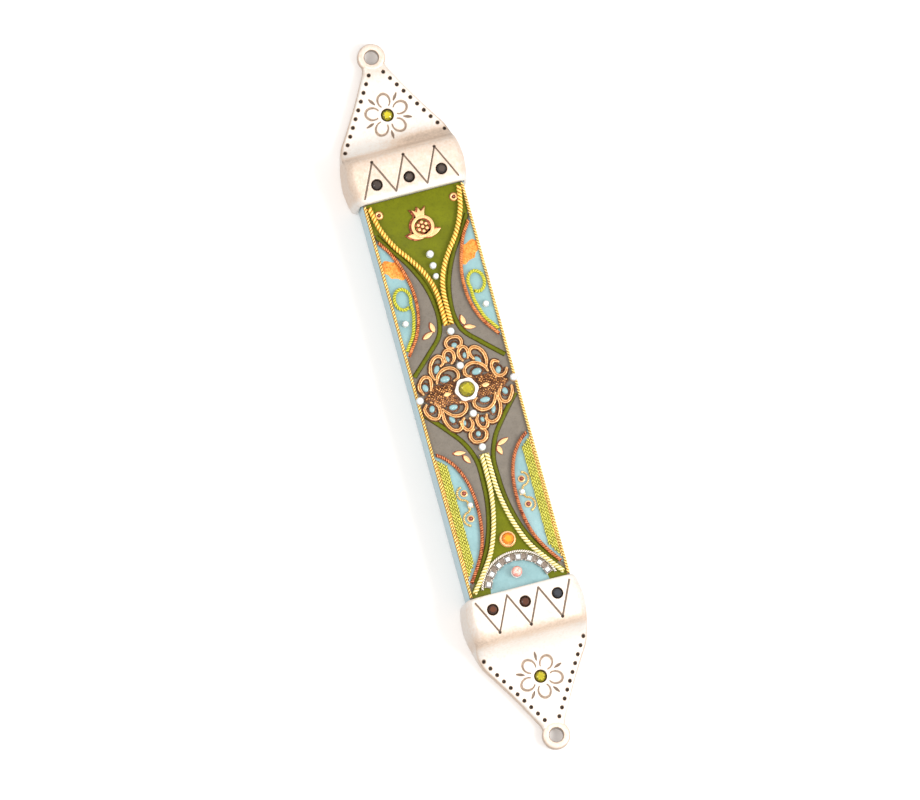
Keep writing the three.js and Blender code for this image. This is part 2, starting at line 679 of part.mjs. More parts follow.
const CURL_X = 7.3;
const CURL_RADIUS = 1.7;
const CURL_GARNETS = [['upper', -24.6], ['lower', -31]];
const CURL_BEAD = [6.6, -27.8];
const CURL_SEAT_HALF = 0.7;
const CURL_SEAT_HEIGHT = 0.4;

// Two wire curls spring from one small square seat, up and down.
function curlPair(side) {
  const [beadX, beadY] = CURL_BEAD;
  const upperArc = arc([CURL_X, CURL_GARNETS[0][1]], CURL_RADIUS, 70, -95, 8);
  const lowerArc = arc([CURL_X, CURL_GARNETS[1][1]], CURL_RADIUS, -70, 95, 8);
  const seatMin = beadX - CURL_SEAT_HALF;
  const seatMax = beadX + CURL_SEAT_HALF;
  const seat = polygon([
    [seatMin, beadY - CURL_SEAT_HALF], [seatMax, beadY - CURL_SEAT_HALF],
    [seatMax, beadY + CURL_SEAT_HALF], [seatMin, beadY + CURL_SEAT_HALF],
  ].map(([x, y]) => [side * x, y]));
  const height = TRIM_BASE + CURL_WIRE_RADIUS;
  const upper = mirrored([...upperArc, [beadX, beadY + CURL_SEAT_HALF / 2]], side);
  const lower = mirrored([...lowerArc, [beadX, beadY - CURL_SEAT_HALF / 2]], side);
  return joined([
    slab(seat, TRIM_BASE, TRIM_BASE + CURL_SEAT_HEIGHT),
    wire(upper, CURL_WIRE_RADIUS, height, 0.8),
    wire(lower, CURL_WIRE_RADIUS, height, 0.8),
  ]);
}

function curlPieces() {
  const group = new THREE.Group();
  const [beadX, beadY] = CURL_BEAD;
  for (const [name, side] of SIDES) {
    add(group, `${name}_curls`, curlPair(-side), 'gold');
    const lift = CURL_SEAT_HEIGHT + GLUE_LINE;
    add(group, `${name}_curl_bead`, bead(-side * beadX, beadY, 0.65, lift), 'pearl');
    for (const [place, y] of CURL_GARNETS) {
      const garnet = bead(-side * CURL_X, y, 0.6, 0, 6, 4);
      add(group, `${name}_${place}_curl_garnet`, garnet, 'garnet');
    }
  }
  return group;
}

// ---- Arch of stones at the foot of the plate ----

const ARCH_CENTRE = [0.1, -51];
const CHAIN_RADIUS = 7.9;
const CHAIN_CUPS = 8;
const CHAIN_FROM = 23;
const CHAIN_TO = 157;
const CUP_HALF = 0.75;
const ARCH_ROPE_RADIUS = 0.24;
const ARCH_ROPE_DISTANCE = 9;

// Eight square cups on one curved strip.
function cupChain() {
  const [x, y] = ARCH_CENTRE;
  const outside = arc(ARCH_CENTRE, CHAIN_RADIUS + 0.3, CHAIN_FROM, CHAIN_TO, 14);
  const inside = arc(ARCH_CENTRE, CHAIN_RADIUS - 0.3, CHAIN_TO, CHAIN_FROM, 14);
  const pieces = [slab(polygon([...outside, ...inside]), TRIM_BASE, TRIM_BASE + 0.35)];
  for (let i = 0; i < CHAIN_CUPS; i += 1) {
    const turn = THREE.MathUtils.lerp(CHAIN_FROM, CHAIN_TO, i / (CHAIN_CUPS - 1));
    const cup = block(
      CHAIN_RADIUS - CUP_HALF, CHAIN_RADIUS + CUP_HALF, -CUP_HALF, CUP_HALF,
      TRIM_BASE, TRIM_BASE + 0.9,
    );
    pieces.push(cup.rotateZ(THREE.MathUtils.degToRad(turn)).translate(x, y, 0));
  }
  return joined(pieces);
}

function archPieces() {
  const group = new THREE.Group();
  add(group, 'cup_chain', cupChain(), 'ivory');
  const ropeLine = arc(ARCH_CENTRE, ARCH_ROPE_DISTANCE, 14, 166, 14);
  add(group, 'arch_rope', rope(ropeLine, 1, ARCH_ROPE_RADIUS, 1.8), 'ivory');
  return group;
}

// ---- The whole case ----

const laidOut = new THREE.Group();
laidOut.add(capPieces('upper'));
const lowerCap = capPieces('lower');
lowerCap.rotation.z = Math.PI;
laidOut.add(lowerCap);
add(laidOut, 'body_tube', bodyTube(), 'blue_paint');
add(laidOut, 'scroll', scroll(), 'parchment');
laidOut.add(facePieces());
add(laidOut, 'emblem', emblem(), 'gold');
laidOut.add(rosettePieces());
laidOut.add(beadPieces());
laidOut.add(curlPieces());
laidOut.add(archPieces());
laidOut.rotation.x = Math.PI / 2;

const mezuzahCase = new THREE.Group();
mezuzahCase.add(laidOut);

export default mezuzahCase;
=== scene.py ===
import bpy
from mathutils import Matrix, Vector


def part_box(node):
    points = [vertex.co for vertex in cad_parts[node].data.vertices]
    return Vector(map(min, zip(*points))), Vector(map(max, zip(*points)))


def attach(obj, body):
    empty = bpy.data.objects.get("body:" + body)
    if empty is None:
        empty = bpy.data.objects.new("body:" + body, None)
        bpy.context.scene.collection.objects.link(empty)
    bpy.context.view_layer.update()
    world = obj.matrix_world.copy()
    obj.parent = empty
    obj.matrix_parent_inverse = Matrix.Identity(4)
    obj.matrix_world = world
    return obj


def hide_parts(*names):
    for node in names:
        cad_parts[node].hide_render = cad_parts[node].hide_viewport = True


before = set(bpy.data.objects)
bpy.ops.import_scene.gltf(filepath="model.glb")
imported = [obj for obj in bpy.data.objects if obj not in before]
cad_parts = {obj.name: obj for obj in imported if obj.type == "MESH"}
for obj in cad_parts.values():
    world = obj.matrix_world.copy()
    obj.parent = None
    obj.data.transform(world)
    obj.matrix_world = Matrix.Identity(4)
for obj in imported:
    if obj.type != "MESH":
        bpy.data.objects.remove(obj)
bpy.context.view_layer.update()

import math

import bmesh
import bpy
import numpy as np
from mathutils import Quaternion, Vector

# Shapes are laid out in millimetres: x across, y up the case and z out from the wall. place()
# turns them into the frame, where +Z runs up the case and its front faces -Y.
MM = 0.001
RANDOM_SEED = 7
rng = np.random.default_rng(RANDOM_SEED)


def place(points):
    return np.column_stack([points[:, 0], -points[:, 2], points[:, 1]]) * MM


def where(node):
    """A node's middle, its lowest and highest z and its half width, laid out in millimetres."""
    low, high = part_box(node)
    middle = (low + high) / 2 / MM
    return middle.x, middle.z, -high.y / MM, -low.y / MM, (high.x - low.x) / 2 / MM


def add_object(name, data, location=(0, 0, 0), turn=(1, 0, 0, 0)):
    made = bpy.data.objects.new(name, data)
    bpy.context.scene.collection.objects.link(made)
    made.location = location
    made.rotation_mode = "QUATERNION"
    made.rotation_quaternion = turn
    return made


# ---- Camera ----

# The view is VIEW_WIDTH across at the case, whose middle lies VIEW_SHIFT right of and above the
# middle of the view. The angles are in degrees, and the distance is in metres.
VIEW_WIDTH = 225.104
VIEW_SHIFT = (1.2234, 1.8106)
CAMERA_DISTANCE = 4.0
CAMERA_AZIMUTH = -6.7
CAMERA_ELEVATION = -7.3
CASE_LEAN = 15.276
CASE_MIDDLE = Vector((0.0, -6.5, 0.0)) * MM


def add_camera():
    data = bpy.data.cameras.new("camera")
    data.sensor_width = 36.0
    data.lens = data.sensor_width * CAMERA_DISTANCE / (VIEW_WIDTH * MM)
    data.clip_start = 0.01
    data.clip_end = 20.0
    azimuth, elevation = math.radians(CAMERA_AZIMUTH), math.radians(CAMERA_ELEVATION)
    back = Vector((
        math.sin(azimuth) * math.cos(elevation),
        -math.cos(azimuth) * math.cos(elevation),
        math.sin(elevation),
    ))
    upright = (-back).to_track_quat("-Z", "Y")
    turned = upright @ Quaternion((0, 0, 1), -math.radians(CASE_LEAN))
    right, up = turned @ Vector((1, 0, 0)), turned @ Vector((0, 1, 0))
    target = CASE_MIDDLE - (right * VIEW_SHIFT[0] + up * VIEW_SHIFT[1]) * MM
    bpy.context.scene.camera = add_object("camera", data, target + back * CAMERA_DISTANCE, turned)


add_camera()


# ---- Materials ----

def linear(colour):
    return tuple((c / 12.92 if c <= 0.04045 else ((c + 0.055) / 1.055) ** 2.4) for c in colour) + (1.0,)


def node(tree, kind, **values):
    made = tree.nodes.new(kind)
    for key, value in values.items():
        if key in made.inputs:
            made.inputs[key].default_value = value
        else:
            setattr(made, key, value)
    return made


def ranged(tree, value, low, high, to_low, to_high):
    """A value mapped from low and high to to_low and to_high."""
    made = node(tree, "ShaderNodeMapRange")
    limits = {"From Min": low, "From Max": high, "To Min": to_low, "To Max": to_high}
    for key, number in limits.items():
        made.inputs[key].default_value = number
    tree.links.new(value, made.inputs["Value"])
    return made.outputs["Result"]


def finish(
    name, stops, *, metallic=0.0, rough=(0.3, 0.45), mottle=(350.0, 0.12), grain=(2600.0, 0.25),
    speck=0.25, coat=0.0, coat_rough=0.08, ior=1.5, sheen=0.0, subsurface=0.0,
):
    """A material that runs from clean to weathered and shaded. stops has its colours at places from 0 to 1.

    Each point's own value of wear and shade sets the place in the stops, and noise moves it by speck. The
    value holds wear and patina, and on the caps, cut stones, pearls, beads and raised gold it also holds
    painted shade and painted highlights. mottle is the scale and strength of broad changes in brightness,
    and grain those of the fine relief.
    """
    material = bpy.data.materials.new(name)
    material.use_nodes = True
    tree = material.node_tree
    link = tree.links.new
    shader = tree.nodes["Principled BSDF"]
    settings = {
        "Metallic": metallic, "IOR": ior, "Coat Weight": coat, "Coat Roughness": coat_rough,
        "Sheen Weight": sheen, "Subsurface Weight": subsurface, "Subsurface Scale": 0.6 * MM,
    }
    for key, number in settings.items():
        shader.inputs[key].default_value = number

    coords = node(tree, "ShaderNodeTexCoord")
    broad = node(tree, "ShaderNodeTexNoise", Scale=mottle[0], Detail=4.0, Roughness=0.6)
    fine = node(tree, "ShaderNodeTexNoise", Scale=grain[0], Detail=5.0, Roughness=0.62)
    link(coords.outputs["Object"], broad.inputs["Vector"])
    link(coords.outputs["Object"], fine.inputs["Vector"])

    wear_and_shade = node(tree, "ShaderNodeAttribute", attribute_name="wear_and_shade")
    wear = node(tree, "ShaderNodeMath", operation="ADD", use_clamp=True)
    link(wear_and_shade.outputs["Fac"], wear.inputs[0])
    link(ranged(tree, fine.outputs["Fac"], 0.3, 0.7, -speck, speck), wear.inputs[1])
    ramp = node(tree, "ShaderNodeValToRGB")
    elements = ramp.color_ramp.elements
    # The ramp starts with an element at 0, its first, and one at 1, its last.
    for at, colour in stops.items():
        element = elements[-at] if at in (0, 1) else elements.new(at)
        element.color = linear(colour)
    link(wear.outputs["Value"], ramp.inputs["Fac"])

    shade = ranged(tree, broad.outputs["Fac"], 0.3, 0.7, 1.0 - mottle[1], 1.0 + mottle[1])
    tinted = node(tree, "ShaderNodeVectorMath", operation="SCALE")
    link(ramp.outputs["Color"], tinted.inputs[0])
    link(shade, tinted.inputs["Scale"])
    link(tinted.outputs["Vector"], shader.inputs["Base Color"])
    link(ranged(tree, broad.outputs["Fac"], 0.35, 0.65, *rough), shader.inputs["Roughness"])

    bump = node(tree, "ShaderNodeBump", Strength=grain[1], Distance=0.05 * MM)
    link(fine.outputs["Fac"], bump.inputs["Height"])
    link(bump.outputs["Normal"], shader.inputs["Normal"])
    return material


# Its beige middle stops are painted shade on the caps' bands, crease and sides, and its dark end is patina
# in the cut lines.
SILVER = finish(
    "silver_plate",
    {0: (0.92, 0.90, 0.875), 0.2: (0.88, 0.79, 0.71), 0.5: (0.57, 0.50, 0.44),
     1: (0.20, 0.15, 0.12)},
    metallic=0.3, rough=(0.34, 0.5), mottle=(160.0, 0.03), grain=(1500.0, 0.3), speck=0.07,
)
HOLLOW_SILVER = finish(
    "silver_inside", {0: (0.70, 0.65, 0.60), 1: (0.42, 0.36, 0.31)},
    metallic=0.6, rough=(0.45, 0.65), mottle=(250.0, 0.12), grain=(1500.0, 0.6), speck=0.4,
)
BLUE_PAINT = finish(
    "blue_paint", {0: (0.68, 0.79, 0.82), 1: (0.80, 0.84, 0.84)},
    rough=(0.38, 0.52), mottle=(180.0, 0.06), grain=(1800.0, 0.3), speck=0.12, coat=0.15,
)
RAW_WOOD = finish(
    "box_inside", {0: (0.78, 0.73, 0.66), 1: (0.62, 0.56, 0.48)},
    rough=(0.6, 0.8), mottle=(300.0, 0.1), grain=(1400.0, 0.5), speck=0.4,
)
TAUPE = finish(
    "grey_enamel", {0: (0.48, 0.45, 0.41), 0.6: (0.40, 0.37, 0.32), 1: (0.26, 0.20, 0.14)},
    rough=(0.4, 0.55), mottle=(500.0, 0.1), grain=(2600.0, 0.6), speck=0.3, ior=1.35,
)
OLIVE = finish(
    "olive_enamel", {0: (0.42, 0.44, 0.02), 0.5: (0.33, 0.35, 0.01), 1: (0.22, 0.14, 0.02)},
    rough=(0.38, 0.52), mottle=(260.0, 0.14), grain=(2400.0, 0.3), speck=0.25, ior=1.25,
)
SKY = finish(
    "sky_enamel", {0: (0.55, 0.70, 0.715), 0.6: (0.45, 0.62, 0.65), 1: (0.34, 0.46, 0.46)},
    rough=(0.22, 0.34), mottle=(300.0, 0.08), grain=(2400.0, 0.3), speck=0.3, coat=0.35,
)
FOIL = finish(
    "orange_foil", {0: (0.97, 0.67, 0.30), 0.6: (0.91, 0.50, 0.14), 1: (0.66, 0.30, 0.08)},
    metallic=0.3, rough=(0.25, 0.45), mottle=(900.0, 0.2), grain=(2600.0, 0.9), speck=0.6,
)
GOLD = finish(
    "gold_rope", {0: (1.0, 0.88, 0.46), 0.35: (0.92, 0.66, 0.18), 1: (0.34, 0.18, 0.03)},
    metallic=0.35, rough=(0.28, 0.42), mottle=(500.0, 0.12), grain=(3000.0, 0.3), speck=0.2,
)
WIRE_GOLD = finish(
    "gold_wire", {0: (1.0, 0.90, 0.58), 0.4: (0.93, 0.70, 0.30), 1: (0.45, 0.24, 0.08)},
    metallic=0.35, rough=(0.28, 0.42), mottle=(250.0, 0.15), grain=(3000.0, 0.3), speck=0.3,
)
CREAM = finish(
    "cream_rope", {0: (1.0, 0.98, 0.76), 0.4: (0.94, 0.85, 0.46), 1: (0.38, 0.32, 0.05)},
    metallic=0.2, rough=(0.3, 0.45), mottle=(250.0, 0.08), grain=(3000.0, 0.25), speck=0.18,
)
COPPER_LOOK = {
    "metallic": 0.35, "rough": (0.3, 0.45), "mottle": (600.0, 0.2), "grain": (1800.0, 0.5), "speck": 0.5,
}
COPPER = finish(
    "copper_rope", {0: (0.90, 0.58, 0.34), 0.35: (0.67, 0.30, 0.14), 1: (0.22, 0.06, 0.02)}, **COPPER_LOOK,
)
# It also colours the shifted backings under the leaves and the emblem, a painted shadow.
RED_COPPER = finish(
    "red_copper_rope", {0: (0.84, 0.52, 0.33), 0.38: (0.58, 0.24, 0.12), 1: (0.20, 0.05, 0.02)},
    **COPPER_LOOK,
)
LIME = finish(
    "lime_cord", {0: (0.84, 0.82, 0.24), 0.45: (0.67, 0.68, 0.09), 1: (0.32, 0.30, 0.04)},
    rough=(0.35, 0.5), mottle=(700.0, 0.12), grain=(3000.0, 0.3), speck=0.25, coat=0.1,
)
WOVEN_LIME = finish(
    "woven_lime", {0: (0.88, 0.86, 0.40), 0.45: (0.72, 0.72, 0.18), 1: (0.34, 0.24, 0.05)},
    rough=(0.35, 0.5), mottle=(700.0, 0.15), grain=(2400.0, 0.4), speck=0.35, coat=0.1,
)
ANTIQUE = finish(
    "antique_gold",
    {0: (1.0, 0.82, 0.58), 0.35: (0.90, 0.64, 0.36), 0.7: (0.60, 0.38, 0.20),
     1: (0.28, 0.15, 0.07)},
    metallic=0.4, rough=(0.28, 0.42), mottle=(700.0, 0.16), grain=(2600.0, 0.5), speck=0.3,
)
# Its red-copper end is painted shade down the sides of the leaves, the emblem and the bezel.
LEAF_GOLD = finish(
    "leaf_gold", {0: (1.0, 0.81, 0.58), 0.4: (0.93, 0.64, 0.38), 1: (0.58, 0.22, 0.07)},
    metallic=0.35, rough=(0.22, 0.36), mottle=(500.0, 0.06), grain=(2600.0, 0.25), speck=0.15,
)
CURL_GOLD = finish(
    "curl_gold", {0: (0.98, 0.85, 0.56), 0.4: (0.83, 0.66, 0.34), 1: (0.45, 0.27, 0.07)},
    metallic=0.35, rough=(0.22, 0.36), mottle=(500.0, 0.1), grain=(2600.0, 0.25), speck=0.25,
)
IVORY = finish(
    "ivory_plate", {0: (0.99, 0.97, 0.94), 0.4: (0.78, 0.71, 0.65), 1: (0.34, 0.27, 0.22)},
    metallic=0.1, rough=(0.25, 0.4), mottle=(500.0, 0.05), grain=(2800.0, 0.2), speck=0.1, coat=0.3,
)
# The pearl's teal-grey stops are painted shade.
PEARL = finish(
    "pearl", {0: (0.95, 0.95, 0.96), 0.4: (0.76, 0.81, 0.82), 1: (0.44, 0.53, 0.53)},
    rough=(0.12, 0.22), mottle=(900.0, 0.05), grain=(1500.0, 0.05), speck=0.15, coat=1.0, subsurface=0.1,
)
# Its palest stop is a painted highlight.
CORAL = finish(
    "coral", {0: (1.0, 0.80, 0.75), 0.15: (0.94, 0.60, 0.54), 1: (0.72, 0.30, 0.25)},
    rough=(0.15, 0.25), mottle=(700.0, 0.08), grain=(1500.0, 0.08), speck=0.3, coat=1.0, subsurface=0.1,
)
GARNET = finish(
    "garnet", {0: (0.58, 0.18, 0.10), 1: (0.20, 0.05, 0.03)},
    rough=(0.08, 0.15), mottle=(900.0, 0.1), grain=(1500.0, 0.05), speck=0.3, coat=1.0,
)
PARCHMENT = finish(
    "parchment", {0: (0.93, 0.88, 0.76), 0.6: (0.88, 0.80, 0.64), 1: (0.72, 0.60, 0.42)},
    rough=(0.7, 0.85), mottle=(120.0, 0.06), grain=(1600.0, 0.5), speck=0.25, sheen=0.2, subsurface=0.05,
)


# A stone's colours run from a painted highlight through its middle to painted shade.
def stone(name, dark, middle, light):
    return finish(
        name, {0: light, 0.5: middle, 1: dark}, rough=(0.03, 0.06), mottle=(900.0, 0.05),
        grain=(900.0, 0.02), speck=0.08, coat=0.35, coat_rough=0.04,
    )


LIME_STONE = stone("lime_stone", (0.17, 0.17, 0.01), (0.56, 0.52, 0.02), (0.92, 0.86, 0.12))
SMOKY_STONE = stone("smoky_stone", (0.08, 0.06, 0.06), (0.18, 0.14, 0.12), (0.33, 0.27, 0.23))
SLATE_STONE = stone("slate_stone", (0.05, 0.06, 0.07), (0.13, 0.14, 0.17), (0.22, 0.24, 0.28))
BROWN_STONE = stone("brown_stone", (0.10, 0.04, 0.02), (0.26, 0.12, 0.04), (0.40, 0.20, 0.08))
AMBER_STONE = stone("amber_stone", (0.78, 0.36, 0.01), (0.93, 0.53, 0.02), (0.98, 0.64, 0.05))
CLEAR_STONE = stone("clear_stone", (0.30, 0.31, 0.32), (0.66, 0.68, 0.69), (1.0, 1.0, 1.0))


# ---- Building pieces ----

class Parts:
    """The points and faces of one piece, gathered from several forms."""

    def __init__(self):
        self.points, self.faces, self.marks, self.wear_and_shade = [], [], [], []
        self.count = 0

    def add(self, points, faces, wear_and_shade=0.0, mark=0):
        points = np.asarray(points, float).reshape(-1, 3)
        self.faces.extend([tuple(i + self.count for i in face) for face in faces])
        self.marks.extend([mark] * len(faces))
        self.points.append(points)
        self.wear_and_shade.append(np.broadcast_to(np.asarray(wear_and_shade, float).reshape(-1), (len(points),)))
        self.count += len(points)

    def turned(self):
        """The same parts after half a turn on the wall."""
        self.points = [points * (-1, -1, 1) for points in self.points]
        return self


def piece(node_name, parts, materials, body="case", sharp=38.0):
    mesh = bpy.data.meshes.new(node_name + "_detail")
    mesh.from_pydata(place(np.vstack(parts.points)), [], parts.faces)
    for material in materials:
        mesh.materials.append(material)
    mesh.polygons.foreach_set("material_index", np.array(parts.marks, np.int32))
    mesh.attributes.new("wear_and_shade", "FLOAT", "POINT").data.foreach_set(
        "value", np.concatenate(parts.wear_and_shade).astype(np.float32),
    )
    form = bmesh.new()
    form.from_mesh(mesh)
    bmesh.ops.recalc_face_normals(form, faces=form.faces)
    form.to_mesh(mesh)
    form.free()
    mesh.polygons.foreach_set("use_smooth", np.ones(len(mesh.polygons), bool))
    mesh.set_sharp_from_angle(angle=math.radians(sharp))
    mesh.update()
    made = add_object(node_name + "_detail", mesh)
    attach(made, body)
    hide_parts(node_name)


def darker_below(points, level, span):
    """How far each point runs to the dark end of its colours: none above the level, and all of it the span
    below. On pearls and raised gold this is painted shade down the sides.
    """
    return np.clip((level - points[:, 2]) / span, 0, 1)


def even(line, step):
    line = np.asarray(line, float)
    along = np.concatenate([[0], np.cumsum(np.linalg.norm(np.diff(line, axis=0), axis=1))])
    count = max(2, round(along[-1] / step))
    places = np.linspace(0, along[-1], count + 1)
    return np.column_stack([np.interp(places, along, line[:, k]) for k in range(line.shape[1])])


def smooth_line(points, step=0.2):
    """A centripetal Catmull-Rom line through the points, in even steps."""
    p = np.asarray(points, float)
    p = np.vstack([2 * p[0] - p[1], p, 2 * p[-1] - p[-2]])
    stretches = []
    for a, b, c, d in zip(p, p[1:], p[2:], p[3:]):
        t1 = np.linalg.norm(b - a) ** 0.5
        t2 = t1 + np.linalg.norm(c - b) ** 0.5
        t3 = t2 + np.linalg.norm(d - c) ** 0.5
        t = np.linspace(t1, t2, 24, endpoint=False)[:, None]
        ab = (t1 - t) / t1 * a + t / t1 * b
        bc = (t2 - t) / (t2 - t1) * b + (t - t1) / (t2 - t1) * c
        cd = (t3 - t) / (t3 - t2) * c + (t - t2) / (t3 - t2) * d
        early = (t2 - t) / t2 * ab + t / t2 * bc
        late = (t3 - t) / (t3 - t1) * bc + (t - t1) / (t3 - t1) * cd
        stretches.append((t2 - t) / (t2 - t1) * early + (t - t1) / (t2 - t1) * late)
    return even(np.vstack([*stretches, p[-2][None]]), step)


def raised(line, height):
    line = np.asarray(line, float)
    return np.column_stack([line[:, 0], line[:, 1], np.full(len(line), float(height))])


def grid_faces(rows, columns, closed=False):
    """Faces between rows of points. Each row is a loop, and closed joins the last to the first."""
    faces = []
    for i in range(rows if closed else rows - 1):
        for j in range(columns):
            i1, j1 = (i + 1) % rows, (j + 1) % columns
            faces.append((i * columns + j, i * columns + j1, i1 * columns + j1, i1 * columns + j))
    return faces


def end_faces(rows, columns):
    """The two flat faces that close a stack of rows."""
    last = (rows - 1) * columns
    return [tuple(reversed(range(columns))), tuple(last + j for j in range(columns))]


def axes_along(line, closed=False):
    ahead = np.roll(line, -1, 0) - np.roll(line, 1, 0) if closed else np.gradient(line, axis=0)
    ahead = ahead / np.linalg.norm(ahead, axis=1, keepdims=True)
    side = np.cross(ahead, [0.0, 0.0, 1.0])
    side /= np.linalg.norm(side, axis=1, keepdims=True)
    return side, np.cross(side, ahead)


def circle(radius, sides, flat=1.0):
    turn = np.linspace(0, 2 * np.pi, sides, endpoint=False)
    return np.column_stack([np.cos(turn), np.sin(turn) * flat]) * radius


def arc(x, y, radius, start, end, steps):
    angle = np.radians(np.linspace(start, end, steps))
    return np.column_stack([x + radius * np.cos(angle), y + radius * np.sin(angle)])


def leaned(flat, x, y, turn):
    """A flat outline turned about its own middle and moved to x, y."""
    lean = math.radians(turn)
    return np.column_stack([
        x + flat[:, 0] * math.cos(lean) - flat[:, 1] * math.sin(lean),
        y + flat[:, 0] * math.sin(lean) + flat[:, 1] * math.cos(lean),
    ])


def oval(x, y, radius_x, radius_y, sides=32, turn=0.0):
    return leaned(circle(1.0, sides) * (radius_x, radius_y), x, y, turn)


def almond(x, y, length, width, turn):
    """A pointed leaf about its middle."""
    t = np.linspace(0, 1, 15)
    side = width / 2 * np.sin(np.pi * t ** 0.85) ** 0.8
    along = (t - 0.5) * length
    flat = np.vstack([np.column_stack([along, side]), np.column_stack([along, -side])[::-1][1:-1]])
    return leaned(flat, x, y, turn)


def swept(line, section, size=None, closed=False):
    """The points and faces of a section carried along a line. size scales it step by step."""
    side, out = axes_along(line, closed)
    size = np.ones(len(line)) if size is None else np.asarray(size, float)
    across = side[:, None] * section[None, :, :1] + out[:, None] * section[None, :, 1:]
    points = line[:, None] + across * size[:, None, None]
    faces = grid_faces(len(line), len(section), closed)
    if not closed:
        faces += end_faces(len(line), len(section))
    return points.reshape(-1, 3), faces


ROPE_STEPS = 10
STRAND_SIDES = 8
STRAND_SHARE = 0.53


def add_rope(parts, line, radius, pitch, hand=1, mark=0, closed=False):
    """Two strands twisted round a line. They are clean outside and dark with patina where they meet."""
    line = even(line, pitch / ROPE_STEPS)
    if closed:
        line = line[:-1]
    side, out = axes_along(line, closed)
    turns = round(len(line) / ROPE_STEPS) if closed else len(line) / ROPE_STEPS
    turn = hand * 2 * np.pi * np.arange(len(line)) * turns / len(line)
    for start in (0.0, np.pi):
        angle = turn + start
        reach = radius * (1 - STRAND_SHARE)
        shift = (np.cos(angle)[:, None] * side + np.sin(angle)[:, None] * out) * reach
        points, faces = swept(line + shift, circle(radius * STRAND_SHARE, STRAND_SIDES), closed=closed)
        from_axis = np.linalg.norm(points.reshape(len(line), -1, 3) - line[:, None], axis=2)
        wear_and_shade = np.clip(3.2 * (0.96 - from_axis / radius), 0, 1)
        parts.add(points, faces, wear_and_shade.ravel(), mark)


def plaque(outlines, bottom, top, edge=0.1, steps=2):
    """The points and faces of a flat shape with rounded edges."""
    curve = bpy.data.curves.new("plaque", "CURVE")
    curve.dimensions = "2D"
    curve.fill_mode = "BOTH"
    curve.extrude = (top - bottom) / 2 - edge
    curve.bevel_depth = edge
    curve.bevel_resolution = steps
    curve.offset = -edge
    for outline in outlines:
        spline = curve.splines.new("POLY")
        spline.points.add(len(outline) - 1)
        rows = np.column_stack([np.asarray(outline, float), np.zeros(len(outline)), np.ones(len(outline))])
        spline.points.foreach_set("co", rows.ravel())
        spline.use_cyclic_u = True
    holder = bpy.data.objects.new("plaque", curve)
    mesh = bpy.data.meshes.new_from_object(holder)
    form = bmesh.new()
    form.from_mesh(mesh)
    bmesh.ops.remove_doubles(form, verts=form.verts, dist=1e-4)
    points = np.array([vertex.co for vertex in form.verts])
    faces = [tuple(vertex.index for vertex in face.verts) for face in form.faces]
    form.free()
    bpy.data.objects.remove(holder)
    bpy.data.curves.remove(curve)
    bpy.data.meshes.remove(mesh)
    points[:, 2] += (top + bottom) / 2
    return points, faces


def add_plaque(parts, outlines, bottom, top, edge=0.1, mark=0, edge_tone=1.0, top_tone=0.0):
    points, faces = plaque(outlines, bottom, top, edge)
    depth = darker_below(points, top, edge)
    parts.add(points, faces, top_tone + (edge_tone - top_tone) * depth, mark)


def dome(x, y, radius_x, radius_y, base, height, turn=0.0, sides=20, rings=5):
    """A low cushion on an oval foot."""
    points = []
    for i in range(rings):
        rise = math.pi / 2 * i / rings
        ring = oval(x, y, radius_x * math.cos(rise), radius_y * math.cos(rise), sides, turn)
        points.append(raised(ring, base + height * math.sin(rise)))
    points.append([[x, y, base + height]])
    faces = grid_faces(rings, sides)
    tip = rings * sides
    first = (rings - 1) * sides
    faces += [(first + j, first + (j + 1) % sides, tip) for j in range(sides)]
    faces.append(tuple(reversed(range(sides))))
    return np.vstack(points), faces


def ball(x, y, z, radius, sides=24, rings=14, unevenness=0.0):
    """A bead, closed at both poles, with a slow unevenness over its skin."""
    tilt = np.linspace(0, np.pi, rings + 1)[1:-1]
    turn = np.linspace(0, 2 * np.pi, sides, endpoint=False)
    tilts, turns = np.meshgrid(tilt, turn, indexing="ij")
    waves = np.sin(3 * turns + 2 * x) * np.sin(2 * tilts) + np.cos(2 * turns + y) * np.sin(tilts) ** 2
    skin = 1 + unevenness * waves
    grid = np.stack([
        np.sin(tilts) * np.cos(turns) * skin, np.sin(tilts) * np.sin(turns) * skin, np.cos(tilts),
    ], axis=-1).reshape(-1, 3)
    points = np.vstack([grid, [[0, 0, 1]], [[0, 0, -1]]]) * radius + (x, y, z)
    faces = grid_faces(len(tilt), sides)
    top, bottom = len(grid), len(grid) + 1
    last = (len(tilt) - 1) * sides
    faces += [((j + 1) % sides, j, top) for j in range(sides)]
    faces += [(last + j, last + (j + 1) % sides, bottom) for j in range(sides)]
    return points, faces


def add_ring(parts, x, y, z, radius, wire, mark=0, sides=28, wear_and_shade=None):
    line = raised(oval(x, y, radius, radius, sides), z)
    points, faces = swept(line, circle(wire, 8), closed=True)
    if wear_and_shade is None:
        wear_and_shade = np.clip(0.35 - 0.75 * (points[:, 2] - z) / wire, 0, 1)
    parts.add(points, faces, wear_and_shade, mark)


